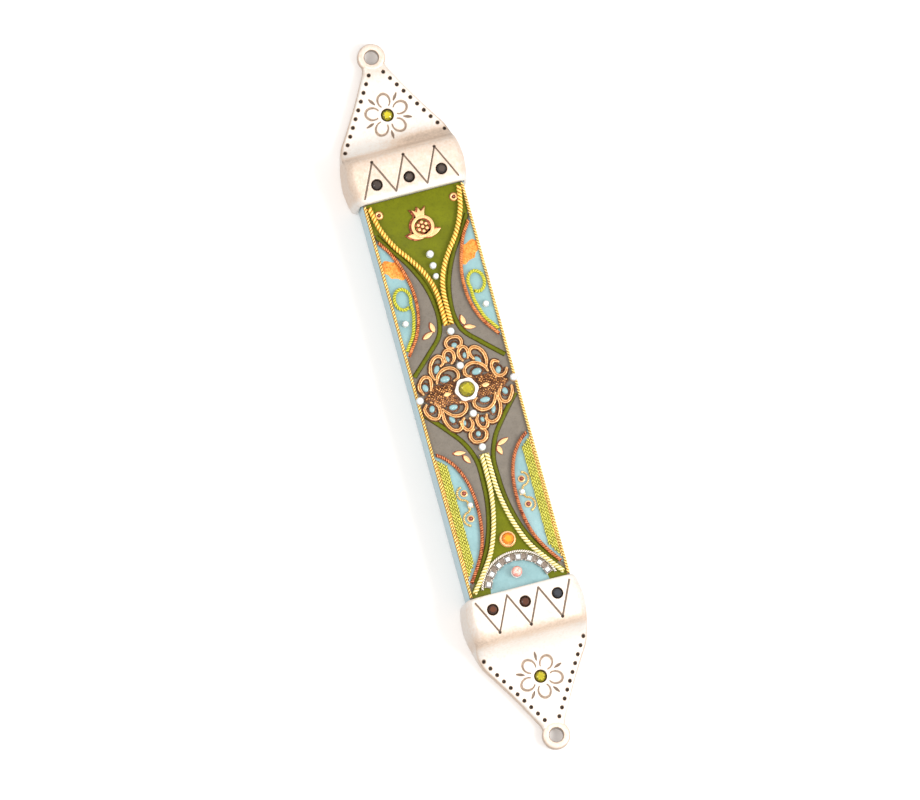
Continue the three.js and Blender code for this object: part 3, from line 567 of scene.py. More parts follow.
def add_stone(parts, x, y, base, radius, height, spin):
    """A cut stone: table, crown facets, girdle and pavilion, each facet with its own painted lightness in
    place of the light it would catch.
    """
    def ring(count, reach, z, turn):
        return raised(oval(x, y, reach, reach, count, turn + spin), z)

    top = base + height
    girdle = base + height * 0.55
    points = np.vstack([
        ring(8, radius * 0.56, top, 0), ring(8, radius * 0.8, top - height * 0.17, 22.5),
        ring(16, radius, girdle, 0), ring(16, radius, girdle - height * 0.08, 0), [[x, y, base]],
    ])
    facets = [tuple(range(8))]
    for i in range(8):
        after, before = (i + 1) % 8, (i - 1) % 8
        mid, rim = 8 + i, 16 + 2 * i
        facets.append((i, after, mid))
        facets.append((i, mid, rim, 8 + before))
        facets.append((mid, rim, rim + 1))
        facets.append((mid, rim + 1, 16 + (2 * i + 2) % 16))
    for j in range(16):
        following = (j + 1) % 16
        facets.append((16 + j, 16 + following, 32 + following, 32 + j))
        facets.append((32 + j, 32 + following, 48))
    for facet in facets:
        # The table is painted light as a highlight, the facets get painted shade toward the girdle, and
        # each facet varies at random.
        step = 0.2 if max(facet) < 8 else 0.35 if max(facet) < 16 else 0.65
        shade = 1.0 if min(facet) >= 16 else step + rng.uniform(-0.18, 0.18)
        parts.add(points[list(facet)], [tuple(range(len(facet)))], shade)


def stone_piece(name, material, body="case", share=1.0, spin=0.0):
    """A cut stone in its node's place. share is its part of the node's width."""
    x, y, base, top, radius = where(name)
    parts = Parts()
    add_stone(parts, x, y, base, radius * share, top - base, spin)
    piece(name, parts, [material], body)


# ---- End caps ----

MOUTH_Y = 50.3
CAP_DEPTH = 13.0
FLAP_THICKNESS = 2.8
NECK_Y = 83.7
FLAP_END_Y = 84.8
RING_Y = 86.7
RING_RADIUS = 3.42
RING_HOLE = 1.72
RING_BACK = 0.04
RING_THICKNESS = 2.6
POCKET_END_Y = 61.3
POCKET_HALF = 13.2
POCKET_DEPTH = 10.8
PLUG_HALF = 11.5
PLUG_TIP_Y = 55.3
PLUG_ROOT_Y = 62.0
PLUG_BACK = 1.4
PLUG_FRONT = 8.1
FLOWER_Y = 71.8
ZIGZAG_LOW_Y = 51.6
ZIGZAG_HIGH_Y = 60.0
ZIGZAG_STEP = 3.97
STONE_SEATS = [(-8.2, 54.2), (0, 54.2), (8.2, 54.2), (0, FLOWER_Y)]
SPOT_COUNT = 10
SPOT_NEAR_RING = np.array([1.85, 82.5])
SPOT_NEAR_BAND = np.array([12.65, 65.0])
CAP_DRAFT = 1.1
CORNER_STEPS = 26


def fade(value, low, high):
    t = np.clip((value - low) / (high - low), 0, 1)
    return t * t * (3 - 2 * t)


# The outline of one side and the height of the front, each as rows of y and size.
CAP_OUTLINE = smooth_line([
    (50.3, 14.4), (52.0, 14.85), (54.5, 15.25), (57.0, 15.35), (59.5, 15.05), (61.5, 14.65),
    (63.5, 14.15), (65.2, 13.65), (66.8, 13.0), (70.0, 10.95), (76.0, 7.25), (80.0, 5.0),
    (NECK_Y, 3.05), (FLAP_END_Y, 2.8),
], 0.1)
CAP_FRONT = smooth_line([
    (51.1, 13.0), (56.0, 13.0), (59.4, 12.92), (60.8, 12.4), (61.7, 11.2), (62.2, 9.3), (62.8, 6.9),
    (63.9, 4.8), (65.5, 3.5), (67.3, 2.9), (69.0, 2.8), (81.0, 2.8), (84.0, 2.5),
], 0.1)


def cap_half_width(y):
    mouth = np.clip((y - MOUTH_Y) / 0.7, 0, 1)
    return np.interp(y, *CAP_OUTLINE.T) - 0.45 * (1 - np.sqrt(1 - (1 - mouth) ** 2))


def cap_front(y):
    """The height of the front along the middle of the cap."""
    mouth = np.clip((y - MOUTH_Y) / 0.8, 0, 1)
    return np.interp(y, *CAP_FRONT.T) - 0.7 * (1 - np.sqrt(1 - (1 - mouth) ** 2))


def near_strokes(x, y, points):
    """The distance to a line of strokes, and how far along it each nearest place lies."""
    points = np.asarray(points, float)
    steps = np.diff(points, axis=0)
    lengths = np.linalg.norm(steps, axis=1)
    starts = np.concatenate([[0], np.cumsum(lengths)[:-1]])
    best = np.full(x.shape, 1e9)
    along = np.zeros(x.shape)
    for start, step, length, begun in zip(points, steps, lengths, starts):
        t = np.clip(((x - start[0]) * step[0] + (y - start[1]) * step[1]) / length ** 2, 0, 1)
        away = np.hypot(x - start[0] - t * step[0], y - start[1] - t * step[1])
        closer = away < best
        best = np.where(closer, away, best)
        along = np.where(closer, begun + t * length, along)
    return best, along / lengths.sum()


def cap_relief(x, y):
    """How deep the front is cut at each place, and how much dark patina lies there."""
    depth = np.zeros(x.shape)
    dark = np.zeros(x.shape)

    def carve(away, half_width, deep, darkness):
        nonlocal depth, dark
        depth = np.maximum(depth, deep * (1 - fade(away, half_width * 0.35, half_width * 1.15)))
        dark = np.maximum(dark, darkness * (1 - fade(away, half_width * 0.6, half_width * 1.3)))

    zigzag = [((i - 3) * ZIGZAG_STEP, ZIGZAG_HIGH_Y if i % 2 else ZIGZAG_LOW_Y) for i in range(7)]
    away, along = near_strokes(x, y, zigzag)
    carve(away, 0.25 - 0.05 * along, 0.3, 0.66)
    for i in (1, 3, 5):
        carve(np.hypot(x - zigzag[i][0], y - zigzag[i][1]), 0.4, 0.45, 1.0)
    petal = arc(0, 0, 1.0, -50, 230, 26) * (1.5, 1.75) + (0, 3.65)
    tick = np.array([(0, 4.0), (0, 6.0)])
    for k in range(5):
        away, along = near_strokes(x, y, leaned(petal, 0, FLOWER_Y, 72 * k))
        carve(away, 0.15 + 0.18 * np.sin(np.pi * along), 0.28, 0.46)
        away, along = near_strokes(x, y, leaned(tick, 0, FLOWER_Y, 72 * k + 36))
        carve(away, 0.12 + 0.24 * np.sin(np.pi * along), 0.28, 0.62)
    for spot_x, spot_y in np.linspace(SPOT_NEAR_RING, SPOT_NEAR_BAND, SPOT_COUNT):
        carve(np.hypot(np.abs(x) - spot_x, y - spot_y), 0.5, 0.55, 1.0)
    for seat_x, seat_y in STONE_SEATS:
        away = np.hypot(x - seat_x, y - seat_y)
        seat = 1.5 if seat_y == FLOWER_Y else 1.32
        depth = np.maximum(depth, 1.05 * (1 - fade(away, seat - 0.1, seat + 0.1)))
        dark = np.maximum(dark, 0.95 * (1 - fade(away, seat, seat + 0.2)))
        depth = depth - 0.07 * np.exp(-((away - seat - 0.33) / 0.16) ** 2)
    return depth, dark


def hand_cast(x, y):
    """The slow waviness of a casting, in millimetres."""
    return (
        0.035 * np.sin(0.61 * x + 1.1) * np.cos(0.47 * y + 0.4)
        + 0.022 * np.sin(1.37 * x - 0.8 * y) + 0.014 * np.cos(2.3 * y + 1.9 * x)
    )


def cap_row(y, in_band):
    """One closed section of the cap. The band is an arch, and the flap has a flat back."""
    half, height = float(cap_half_width(y)), float(cap_front(y))
    corner = 0.9 + 2.1 * np.clip((height - FLAP_THICKNESS) / 8, 0, 1)
    bulk = np.clip((height - 6) / 7, 0, 1)
    edge_height = height - 0.35 * bulk
    back = 0.25
    wall = edge_height - corner - back
    left = [(-half + back, 0.0), (-half + 0.07, 0.07), (-half, back)]
    left += [(-half, back + wall * t) for t in (0.15, 0.3, 0.45, 0.6, 0.75, 0.9)]
    left += [
        (-half + corner + corner * math.cos(a), edge_height - corner + corner * math.sin(a))
        for a in np.linspace(np.pi, np.pi / 2, CORNER_STEPS)
    ]
    front = np.linspace(-half + corner, half - corner, 186)[1:-1]
    across = np.abs(front / (half - corner))
    crown = height - (0.2 * across ** 6 + 0.15 * across ** 2) * bulk
    outside = left + list(zip(front, crown)) + [(-px, pz) for px, pz in reversed(left)]
    outside = [(px * (1 - CAP_DRAFT / half * (pz / CAP_DEPTH) ** 1.5), pz) for px, pz in outside]
    if in_band:
        h, d = POCKET_HALF, POCKET_DEPTH
        inside = [
            (h, 0), (h, d * 0.5), (h, d - 0.5), (h - 0.15, d - 0.15), (h - 0.5, d), (h * 0.3, d),
        ]
        inside += [(-px, pz) for px, pz in reversed(inside)]
    else:
        inside = [(px, 0.0) for px in np.linspace(half * 0.9, -half * 0.9, 12)]
    return np.array(outside + inside, float), len(left), len(front)


def cap_parts(shade_on_band, speckle_tone, shade_end, shaded_side):
    """A cap with painted shade on its band and at the crease before the flap, a dark speckle on the flap by
    that crease, and painted shade down the side away from the light.
    """
    parts = Parts()
    band = np.concatenate([
        MOUTH_Y + np.array([0, 0.03, 0.1, 0.2, 0.32, 0.46]), np.arange(50.9, POCKET_END_Y - 0.05, 0.16),
        [POCKET_END_Y],
    ])
    flap = np.concatenate([[POCKET_END_Y], np.arange(POCKET_END_Y + 0.14, FLAP_END_Y, 0.15), [FLAP_END_Y]])
    rows = [(y, True) for y in band] + [(y, False) for y in flap]
    points, wear_and_shade = [], []
    for y, in_band in rows:
        section, lead, front = cap_row(y, in_band)
        row = np.column_stack([section[:, 0], np.full(len(section), y), section[:, 1]])
        shown = slice(lead - CORNER_STEPS, lead + front + CORNER_STEPS)
        x = row[shown, 0]
        depth, dark = cap_relief(x, np.full(len(x), y))
        row[shown, 2] += hand_cast(x, y) - depth
        # Painted beige shade on the band, heavier on the shoulder, fading out before the crease and at the
        # mouth's lip.
        band_shading = shade_on_band + (0.16 - shade_on_band) * fade(y, 57.5, 61.0)
        band_shading *= (1 - fade(y, shade_end - 2.0, shade_end)) * fade(y, MOUTH_Y + 0.7, MOUTH_Y + 2.3)
        # A painted shade line along the crease between band and flap.
        fold_shade = 0.1 * math.exp(-((y - shade_end + 1.2) / 0.8) ** 2)
        speckle = speckle_tone * math.exp(-((y - 64.5) / 1.6) ** 2) * fade(x, -6.0, 5.0)
        # Painted shade down the side away from the light.
        side = 0.04 * fade(shaded_side * x, 7.5, 13.0) * (1 - fade(y, 62.0, 68.0))
        neck = 0.1 * fade(y, 80.0, 84.0)
        on_flap = fade(y, 62.0, 67.0)
        # Painted shade on the front's outermost points by the sides, more on the flap.
        edge = (0.12 + 0.2 * on_flap) * fade(np.abs(x) / np.abs(row[:, 0]).max(), 0.94, 1.0)
        # The side walls, back and pocket take the band's painted shade, more of it down the flap's sides.
        patina_and_shade = np.full(len(row), band_shading + neck + 0.03 + 0.17 * on_flap)
        # The front takes the darker of the patina in its cuts and the painted shade, speckle and neck tone.
        patina_and_shade[shown] = np.maximum(dark, band_shading + fold_shade + speckle + side + neck + edge)
        points.append(row)
        wear_and_shade.append(patina_and_shade)
    columns = len(points[0])
    faces = grid_faces(len(rows), columns) + end_faces(len(rows), columns)
    parts.add(np.vstack(points), faces, np.concatenate(wear_and_shade))

    # The hanging ring, rounded all round and lightly dished.
    outer, inner, top = RING_RADIUS, RING_HOLE, RING_THICKNESS
    section = [
        (inner, 0.35), (inner + 0.1, 0.1), (inner + 0.35, RING_BACK), (outer - 0.35, RING_BACK),
        (outer - 0.1, 0.1), (outer, 0.35), (outer, top - 0.75), (outer - 0.07, top - 0.42),
        (outer - 0.26, top - 0.16), (outer - 0.55, top - 0.02), (outer - 0.9, top),
        (inner + 0.28, top - 0.02), (inner + 0.1, top - 0.1), (inner + 0.02, top - 0.25),
        (inner, top - 0.45),
    ]
    loops = np.stack([raised(oval(0, RING_Y, reach, reach, 72), z) for reach, z in section], axis=1)
    x, y, z = loops[..., 0], loops[..., 1], loops[..., 2]
    z += 0.6 * hand_cast(x, y) * (z > top - 0.3)
    from_axis = np.hypot(x, y - RING_Y)
    # Painted shade darkens the wall of the hole and the outer side of the ring.
    patina_and_shade = 0.13 + 0.37 * (from_axis < inner + 0.2) + 0.17 * (from_axis > outer - 0.1)
    parts.add(loops, grid_faces(*z.shape, closed=True), patina_and_shade)

    # The plug enters the box.
    half, tip, root = PLUG_HALF, PLUG_TIP_Y, PLUG_ROOT_Y
    outline = [(-half, tip), (half, tip), (half, root), (-half, root)]
    add_plaque(parts, [outline], PLUG_BACK, PLUG_FRONT, 0.4, mark=1, edge_tone=0.4)
    return parts


# Each end has its cap and the stones of its band, named from left to right with its ring up.
ENDS = {
    "upper": (cap_parts(0.15, 0.3, 64.0, -1), [SMOKY_STONE] * 3, "upper_cap_body"),
    "lower": (cap_parts(0.04, 0.0, 62.9, 1).turned(), [SLATE_STONE, BROWN_STONE, BROWN_STONE], "case"),
}
for end, (form, stones, body) in ENDS.items():
    piece(end + "_cap", form, [SILVER, HOLLOW_SILVER], body, sharp=50)
    for side, material in zip(("left", "middle", "right"), stones):
        spin = rng.uniform(0, 45)
        stone_piece(f"{end}_{side}_band_crystal", material, body, 0.86, spin)
    stone_piece(f"{end}_flower_crystal", LIME_STONE, body, 0.96, rng.uniform(0, 45))


# ---- Box and parchment ----

TUBE_HALF_WIDTH = 12.9
TUBE_DEPTH = 9.5
TUBE_WALL = 1.1
TUBE_HALF_LENGTH = 61.0


def rounded_rectangle(half_x, z_low, z_high, corner):
    x, low, high = half_x - corner, z_low + corner, z_high - corner
    middles = [(x, high, 0), (-x, high, 90), (-x, low, 180), (x, low, 270)]
    return np.vstack([arc(cx, cz, corner, start, start + 90, 5) for cx, cz, start in middles])


def box_parts():
    parts = Parts()
    outer = rounded_rectangle(TUBE_HALF_WIDTH, 0, TUBE_DEPTH, 0.6)
    inner = rounded_rectangle(TUBE_HALF_WIDTH - TUBE_WALL, TUBE_WALL, TUBE_DEPTH - TUBE_WALL, 0.3)
    ends = [-TUBE_HALF_LENGTH, -TUBE_HALF_LENGTH + 0.06, -TUBE_HALF_LENGTH + 0.2]
    middles = np.linspace(-TUBE_HALF_LENGTH + 0.5, TUBE_HALF_LENGTH - 0.5, 120)
    places = np.concatenate([ends, middles, [-y for y in reversed(ends)]])
    for section, mark, sign in ((outer, 0, -1), (inner, 1, 1)):
        rows = []
        for y in places:
            pull = 0.2 - np.sqrt(max(0.04 - max(abs(y) - TUBE_HALF_LENGTH + 0.2, 0) ** 2, 0))
            middle = np.array([0, TUBE_DEPTH / 2])
            reach = section - middle
            row = middle + reach + sign * pull * np.sign(reach)
            rows.append(np.column_stack([row[:, 0], np.full(len(row), y), row[:, 1]]))
        wear_and_shade = np.repeat((np.abs(places) > TUBE_HALF_LENGTH - 0.3) * 1.0, len(section))
        parts.add(np.vstack(rows), grid_faces(len(places), len(section)), wear_and_shade, mark)
    count = len(outer)
    inside = len(places) * count
    for row in (0, len(places) - 1):
        for j in range(count):
            a, b = row * count + j, row * count + (j + 1) % count
            parts.faces.append((a, b, inside + b, inside + a))
            parts.marks.append(1)
    return parts


def parchment_parts():
    """Five turns of skin, rolled to an oval, with slightly uneven ends."""
    parts = Parts()
    per_turn, turns, pitch, sheet = 40, 5, 0.4, 0.26
    outer, stretch, length, bottom = 3.22, 1.65, 100.0, -55.0
    angle = np.linspace(0, 2 * np.pi * turns, per_turn * turns + 1)
    radius = outer - pitch * angle / (2 * np.pi)
    rows = []
    places = np.concatenate([[0, 0.08], np.linspace(0.5, length - 0.5, 48), [length - 0.08, length]])
    for along in places:
        at_end = 1.0 if 0 < along < length else 0.6
        fray = 0.12 * np.sin(angle * 1.7) + 0.08 * np.sin(angle * 4.3 + 1)
        trim = np.clip(1 - min(along, length - along) / 0.6, 0, 1) * np.abs(fray)
        y = bottom + along + np.where(along < length / 2, trim, -trim)
        wave = 0.03 * np.sin(along * 0.19 + angle)
        edges = []
        for half in (sheet / 2 * at_end, -sheet / 2 * at_end):
            reach = radius + half + wave
            edges.append(np.column_stack([
                (reach + stretch) * np.cos(angle), y, TUBE_DEPTH / 2 + reach * np.sin(angle),
            ]))
        rows.append(np.vstack([edges[0], edges[1][::-1]]))
    columns = len(rows[0])
    faces = grid_faces(len(rows), columns)
    for row in (0, len(rows) - 1):
        start = row * columns
        for j in range(len(angle) - 1):
            k = columns - 1 - j
            faces.append((start + j, start + j + 1, start + k - 1, start + k))
    wear_and_shade = np.repeat(0.15 + 0.5 * np.exp(-np.minimum(places, length - places) / 1.5), columns)
    parts.add(np.vstack(rows), faces, wear_and_shade)
    return parts


piece("body_tube", box_parts(), [BLUE_PAINT, RAW_WOOD], sharp=50)
piece("scroll", parchment_parts(), [PARCHMENT], "parchment", sharp=60)


# ---- Face plate ----

PLATE_HALF = 12.65
PLATE_HALF_LENGTH = 60.0
PLATE_BASE = 9.65
PLATE_TOP = 10.5
TRIM_BASE = 10.65
ENAMEL_BASE = PLATE_TOP - 0.05
FIELD_TOP = PLATE_TOP + 0.1
LENS_TOP = PLATE_TOP + 0.12
ARCH_TOP = PLATE_TOP + 0.135
PATCH_TOP = PLATE_TOP + 0.145
LEAF_TOP = PLATE_TOP + 0.5
FIELD_HALF = 12.0
FIELD_END = 50.2
FIELD_NECK = 17.0

# Lines on the left side, as (x, y). The right side mirrors them.
UPPER_ROPE = [
    (-11.4, 49.2), (-10.2, 43.6), (-7.8, 38.4), (-5.2, 34.8), (-3.2, 31.8), (-1.7, 28.6),
    (-0.85, 25), (-0.68, 21), (-0.68, 16.7),
]
UPPER_RIDGE = [
    (-11.5, 42.2), (-9, 38.2), (-6.6, 34.9), (-4.6, 31.3), (-3, 27.4), (-2.05, 23), (-1.9, 18.6),
    (-3, 14.6), (-6.8, 10.6), (-11.5, 6.2),
]
UPPER_LENS = [
    (-11.4, 40.4), (-9.2, 37), (-7.3, 32), (-6.3, 26.6), (-6.6, 20.9), (-8.4, 15.8), (-11.4, 11.5),
]
LOWER_ROPE = [
    (-0.64, -16.5), (-0.64, -21), (-0.78, -25.5), (-1.5, -30.4), (-2.8, -35.4), (-4.9, -40.5),
    (-8, -45), (-11.3, -49.2),
]
LOWER_RIDGE = [
    (-11.5, -3.6), (-7.4, -8.2), (-3.9, -12.8), (-2.1, -17.6), (-1.95, -23), (-2.3, -28),
    (-3.3, -33), (-4.9, -37.8), (-7.2, -42), (-10.4, -46.6),
]
LOWER_LENS = [
    (-11.4, -13.8), (-9.4, -15.4), (-7.2, -18.4), (-5.6, -22.8), (-5, -27.8), (-5.3, -33.2),
    (-6.6, -38.6), (-8.8, -42.8), (-11.3, -46.4),
]
ARCH_CENTRE = (0.1, -51.0)
ARCH_FIELD_RADIUS = 7.5
CUP_RADIUS = 8.1
CHAIN_RADIUS = 8.3
ARCH_ROPE_RADIUS = 9.55


def flip(line):
    return np.asarray(line, float) * (-1, 1)


def olive_field(ridge, corner_y, end_y):
    """The field between a ridge and its mirror image, from the neck out to the end."""
    line = smooth_line(ridge)
    neck = line[np.abs(line[:, 1]) > FIELD_NECK]
    left = np.vstack([neck, [(-FIELD_HALF, corner_y), (-FIELD_HALF, end_y)]])
    return np.vstack([left, flip(left)[::-1]])


def add_ridge(parts, line, mark):
    half = [(-0.62, -0.1), (-0.62, 0.1), (-0.52, 0.2), (-0.28, 0.28)]
    section = np.array([*half, (0, 0.31), *[(-x, z) for x, z in reversed(half)]])
    points, faces = swept(raised(line, PLATE_TOP), section)
    # The ridge's crest is painted light and its flanks painted shade.
    parts.add(points, faces, np.tile([1, 1, 0.8, 0.35, 0.2, 0.35, 0.8, 1, 1], len(line)), mark)


ORANGE_PATCH = [
    (-12.0, 35.2), (-11.2, 35.8), (-10.2, 35.5), (-9.3, 35.0), (-8.5, 34.9), (-8.0, 33.6),
    (-7.6, 32.2), (-7.2, 30.4), (-8.0, 30.1), (-8.9, 30.7), (-9.7, 31.0), (-10.6, 31.2),
    (-11.1, 32.2), (-12.0, 33.0),
]
# Each leaf is its middle, length, width and turn in degrees.
LEAVES = [
    (-4.05, 17.0, 2.6, 1.15, 98), (-5.6, 15.3, 3.0, 1.1, 24), (3.7, 17.0, 2.6, 1.15, 96),
    (4.95, 14.9, 3.0, 1.1, -14), (-5.7, -14.7, 3.1, 1.1, -8), (-4.35, -16.6, 2.5, 1.15, -62),
    (5.35, -14.5, 3.2, 1.1, 20), (4.05, -16.4, 2.5, 1.15, -75),
]


def face_plate_parts():
    parts = Parts()
    corner = 0.8
    h, e = PLATE_HALF, PLATE_HALF_LENGTH
    outline = [
        (corner - h, -e), (h - corner, -e), (h, corner - e), (h, e - corner), (h - corner, e),
        (corner - h, e), (-h, e - corner), (-h, corner - e),
    ]
    add_plaque(parts, [outline], PLATE_BASE, PLATE_TOP, 0.12, edge_tone=0.4)
    for field in (
        olive_field(UPPER_RIDGE[::-1], 42.9, FIELD_END), olive_field(LOWER_RIDGE, -48.6, -FIELD_END),
    ):
        add_plaque(parts, [field], ENAMEL_BASE, FIELD_TOP, 0.05, 1, edge_tone=0.9)
    for lens in (UPPER_LENS, LOWER_LENS):
        line = smooth_line(lens)
        edge = np.vstack([[(-FIELD_HALF, line[0, 1] + 0.5)], line, [(-FIELD_HALF, line[-1, 1] - 0.5)]])
        for outline in (edge, flip(edge)):
            add_plaque(parts, [outline], ENAMEL_BASE, LENS_TOP, 0.05, 2, edge_tone=0.9)
    arch = arc(*ARCH_CENTRE, ARCH_FIELD_RADIUS, 0, 180, 40)
    add_plaque(parts, [arch], ENAMEL_BASE, ARCH_TOP, 0.05, 2, edge_tone=0.9)
    patch = smooth_line([*ORANGE_PATCH, ORANGE_PATCH[0]], 0.25)[:-1]
    for outline in (patch, flip(patch)):
        add_plaque(parts, [outline], ENAMEL_BASE, PATCH_TOP, 0.04, 3, top_tone=0.3)
    for ridge in (UPPER_RIDGE, LOWER_RIDGE):
        line = smooth_line(ridge, 0.3)
        add_ridge(parts, line, 1)
        add_ridge(parts, flip(line), 1)
    for x, y, length, width, turn in LEAVES:
        points, faces = plaque([almond(x, y, length, width, turn)], ENAMEL_BASE, LEAF_TOP, 0.16, 3)
        # Each leaf runs to red copper down its sides, painted shade.
        parts.add(points, faces, darker_below(points, LEAF_TOP - 0.05, 0.35), 4)
        # A copper backing shifted up and to the left of each leaf is a painted shadow.
        backing = almond(x - 0.16, y + 0.1, length + 0.3, width + 0.2, turn)
        add_plaque(parts, [backing], ENAMEL_BASE, PLATE_TOP + 0.14, 0.04, 5, top_tone=0.5)
    return parts


piece(
    "face_plate", face_plate_parts(), [TAUPE, OLIVE, SKY, FOIL, LEAF_GOLD, RED_COPPER],
    sharp=42,
)


# ---- Ropes and woven bands ----

def rope_piece(name, line, radius, pitch, slot, material, hand=1):
    parts = Parts()
    add_rope(parts, raised(line, TRIM_BASE + radius), radius, pitch, hand)
    piece(name, parts, [material], sharp=80)


BORDER_X = 12.34
BORDER_END = 49.8
LIME_LOOP = oval(-9.35, 25.4, 2.0, 2.6, 36)
LIME_LINE = [
    (-11.6, 12.75), (-10.62, 14.15), (-9.15, 16.25), (-8.33, 18.64), (-7.65, 21.4),
    *np.roll(LIME_LOOP, 3, 0)[:36:3],
]
WOVEN_CORDS_X = (11.86, 11.36, 10.82, 10.28, 9.74)

# Each rope's line on the left side, radius, pitch, slot and material.
ROPES = {
    "upper_{}_rope": (UPPER_ROPE, 0.67, 1.8, "gold", GOLD),
    "lower_{}_rope": (LOWER_ROPE, 0.63, 1.8, "cream_gold", CREAM),
    "upper_{}_lens_rope": (UPPER_LENS, 0.46, 1.1, "copper", COPPER),
    "lower_{}_lens_rope": (LOWER_LENS, 0.48, 1.2, "copper", RED_COPPER),
    "{}_lime_rope": (LIME_LINE, 0.46, 1.3, "lime", LIME),
}


def woven_parts(side):
    """A thin gold cord and four lime ones, with the twist turned about from one to the next."""
    parts = Parts()
    for k, x in enumerate(WOVEN_CORDS_X):
        slant = x - 11.78
        line = even([(side * x, -15.0 + 0.9 * slant), (side * x, -45.3 - 1.6 * slant)], 0.3)
        line[:, 0] += 0.05 * np.sin(line[:, 1] * 2.1 + k)
        radius, mark = (0.33, 0) if k else (0.24, 1)
        add_rope(parts, raised(line, TRIM_BASE + 0.28), radius, 1.7, 1 if k % 2 else -1, mark)
    return parts


for name, side in (("left", -1), ("right", 1)):
    edge = [(side * BORDER_X, -BORDER_END), (side * BORDER_X, BORDER_END)]
    rope_piece(f"{name}_border_wire", edge, 0.4, 1.5, "gold", WIRE_GOLD, side)
    for pattern, (route, *look) in ROPES.items():
        rope_piece(pattern.format(name), smooth_line(route) * (-side, 1), *look, side)
    piece(f"{name}_woven_band", woven_parts(side), [WOVEN_LIME, WIRE_GOLD], sharp=80)
rope_piece("arch_rope", arc(*ARCH_CENTRE, ARCH_ROPE_RADIUS, 14, 166, 60), 0.33, 1.1, "ivory", IVORY)


# ---- Emblem ----

EMBLEM_CENTRE = np.array([0.2, 42.4])
FRUIT_MIDDLE_Y = -0.7
FRUIT_ROOT_Y = -3.3
CROWN = [
    (-1.05, 1.6), (-1.25, 2.6), (-1.75, 3.9), (-1.1, 3.45), (-0.5, 3.1), (0, 4.15), (0.5, 3.1),
    (1.1, 3.45), (1.75, 3.9), (1.25, 2.6), (1.05, 1.6),
]
LEAF_LENGTH = 4.4
LEAF_WIDTH = 1.6
LEAF_LEAN = 75
# Each copper backing is shifted up and to the left of its gold shape, a painted shadow on the side away
# from the light.
SHADOW_SHIFT = (-0.3, 0.16)


def emblem_parts():
    """A cut pomegranate in outline: ring, seeds and crown, with a leaf to each side."""
    parts = Parts()

    def add_shape(outlines, backing, top, edge=0.22):
        shifted = [np.asarray(outline, float) + EMBLEM_CENTRE for outline in outlines]
        points, faces = plaque(shifted, TRIM_BASE + 0.1, top, edge, 3)
        # The gold runs to red copper down its sides, painted shade.
        parts.add(points, faces, darker_below(points, top - 0.06, 0.3))
        shifted = [np.asarray(outline, float) + EMBLEM_CENTRE + SHADOW_SHIFT for outline in backing]
        add_plaque(parts, shifted, TRIM_BASE, TRIM_BASE + 0.3, 0.06, 1, edge_tone=0.7, top_tone=0.4)

    for lean in (LEAF_LEAN, -LEAF_LEAN):
        turn = math.radians(lean)
        x = math.sin(turn) * LEAF_LENGTH / 2
        y = FRUIT_ROOT_Y + math.cos(turn) * LEAF_LENGTH / 2
        backing = almond(x, y, LEAF_LENGTH + 0.6, LEAF_WIDTH + 0.6, 90 - lean)
        add_shape([almond(x, y, LEAF_LENGTH, LEAF_WIDTH, 90 - lean)], [backing], TRIM_BASE + 0.7)
    crown = np.array(CROWN)
    backing = (crown - (0, 2.8)) * (1.25, 1.2) + (0, 2.8)
    add_shape([crown], [backing], TRIM_BASE + 0.78)
    ring = [oval(0, FRUIT_MIDDLE_Y, 2.85, 2.8, 48), oval(0, FRUIT_MIDDLE_Y, 2.05, 2.0, 40)]
    backing = [oval(0, FRUIT_MIDDLE_Y, 3.08, 3.02, 48), oval(0, FRUIT_MIDDLE_Y, 1.8, 1.75, 40)]
    add_shape(ring, backing, TRIM_BASE + 0.85)
    for k in range(7):
        turn = math.radians(60 * k)
        reach = 1.13 if k < 6 else 0.0
        x, y = reach * math.sin(turn), FRUIT_MIDDLE_Y + reach * math.cos(turn)
        add_shape([oval(x, y, 0.4, 0.4, 14)], [oval(x, y, 0.5, 0.5, 14)], TRIM_BASE + 0.6, 0.16)
    return parts


piece("emblem", emblem_parts(), [LEAF_GOLD, RED_COPPER])


# ---- Rosette ----

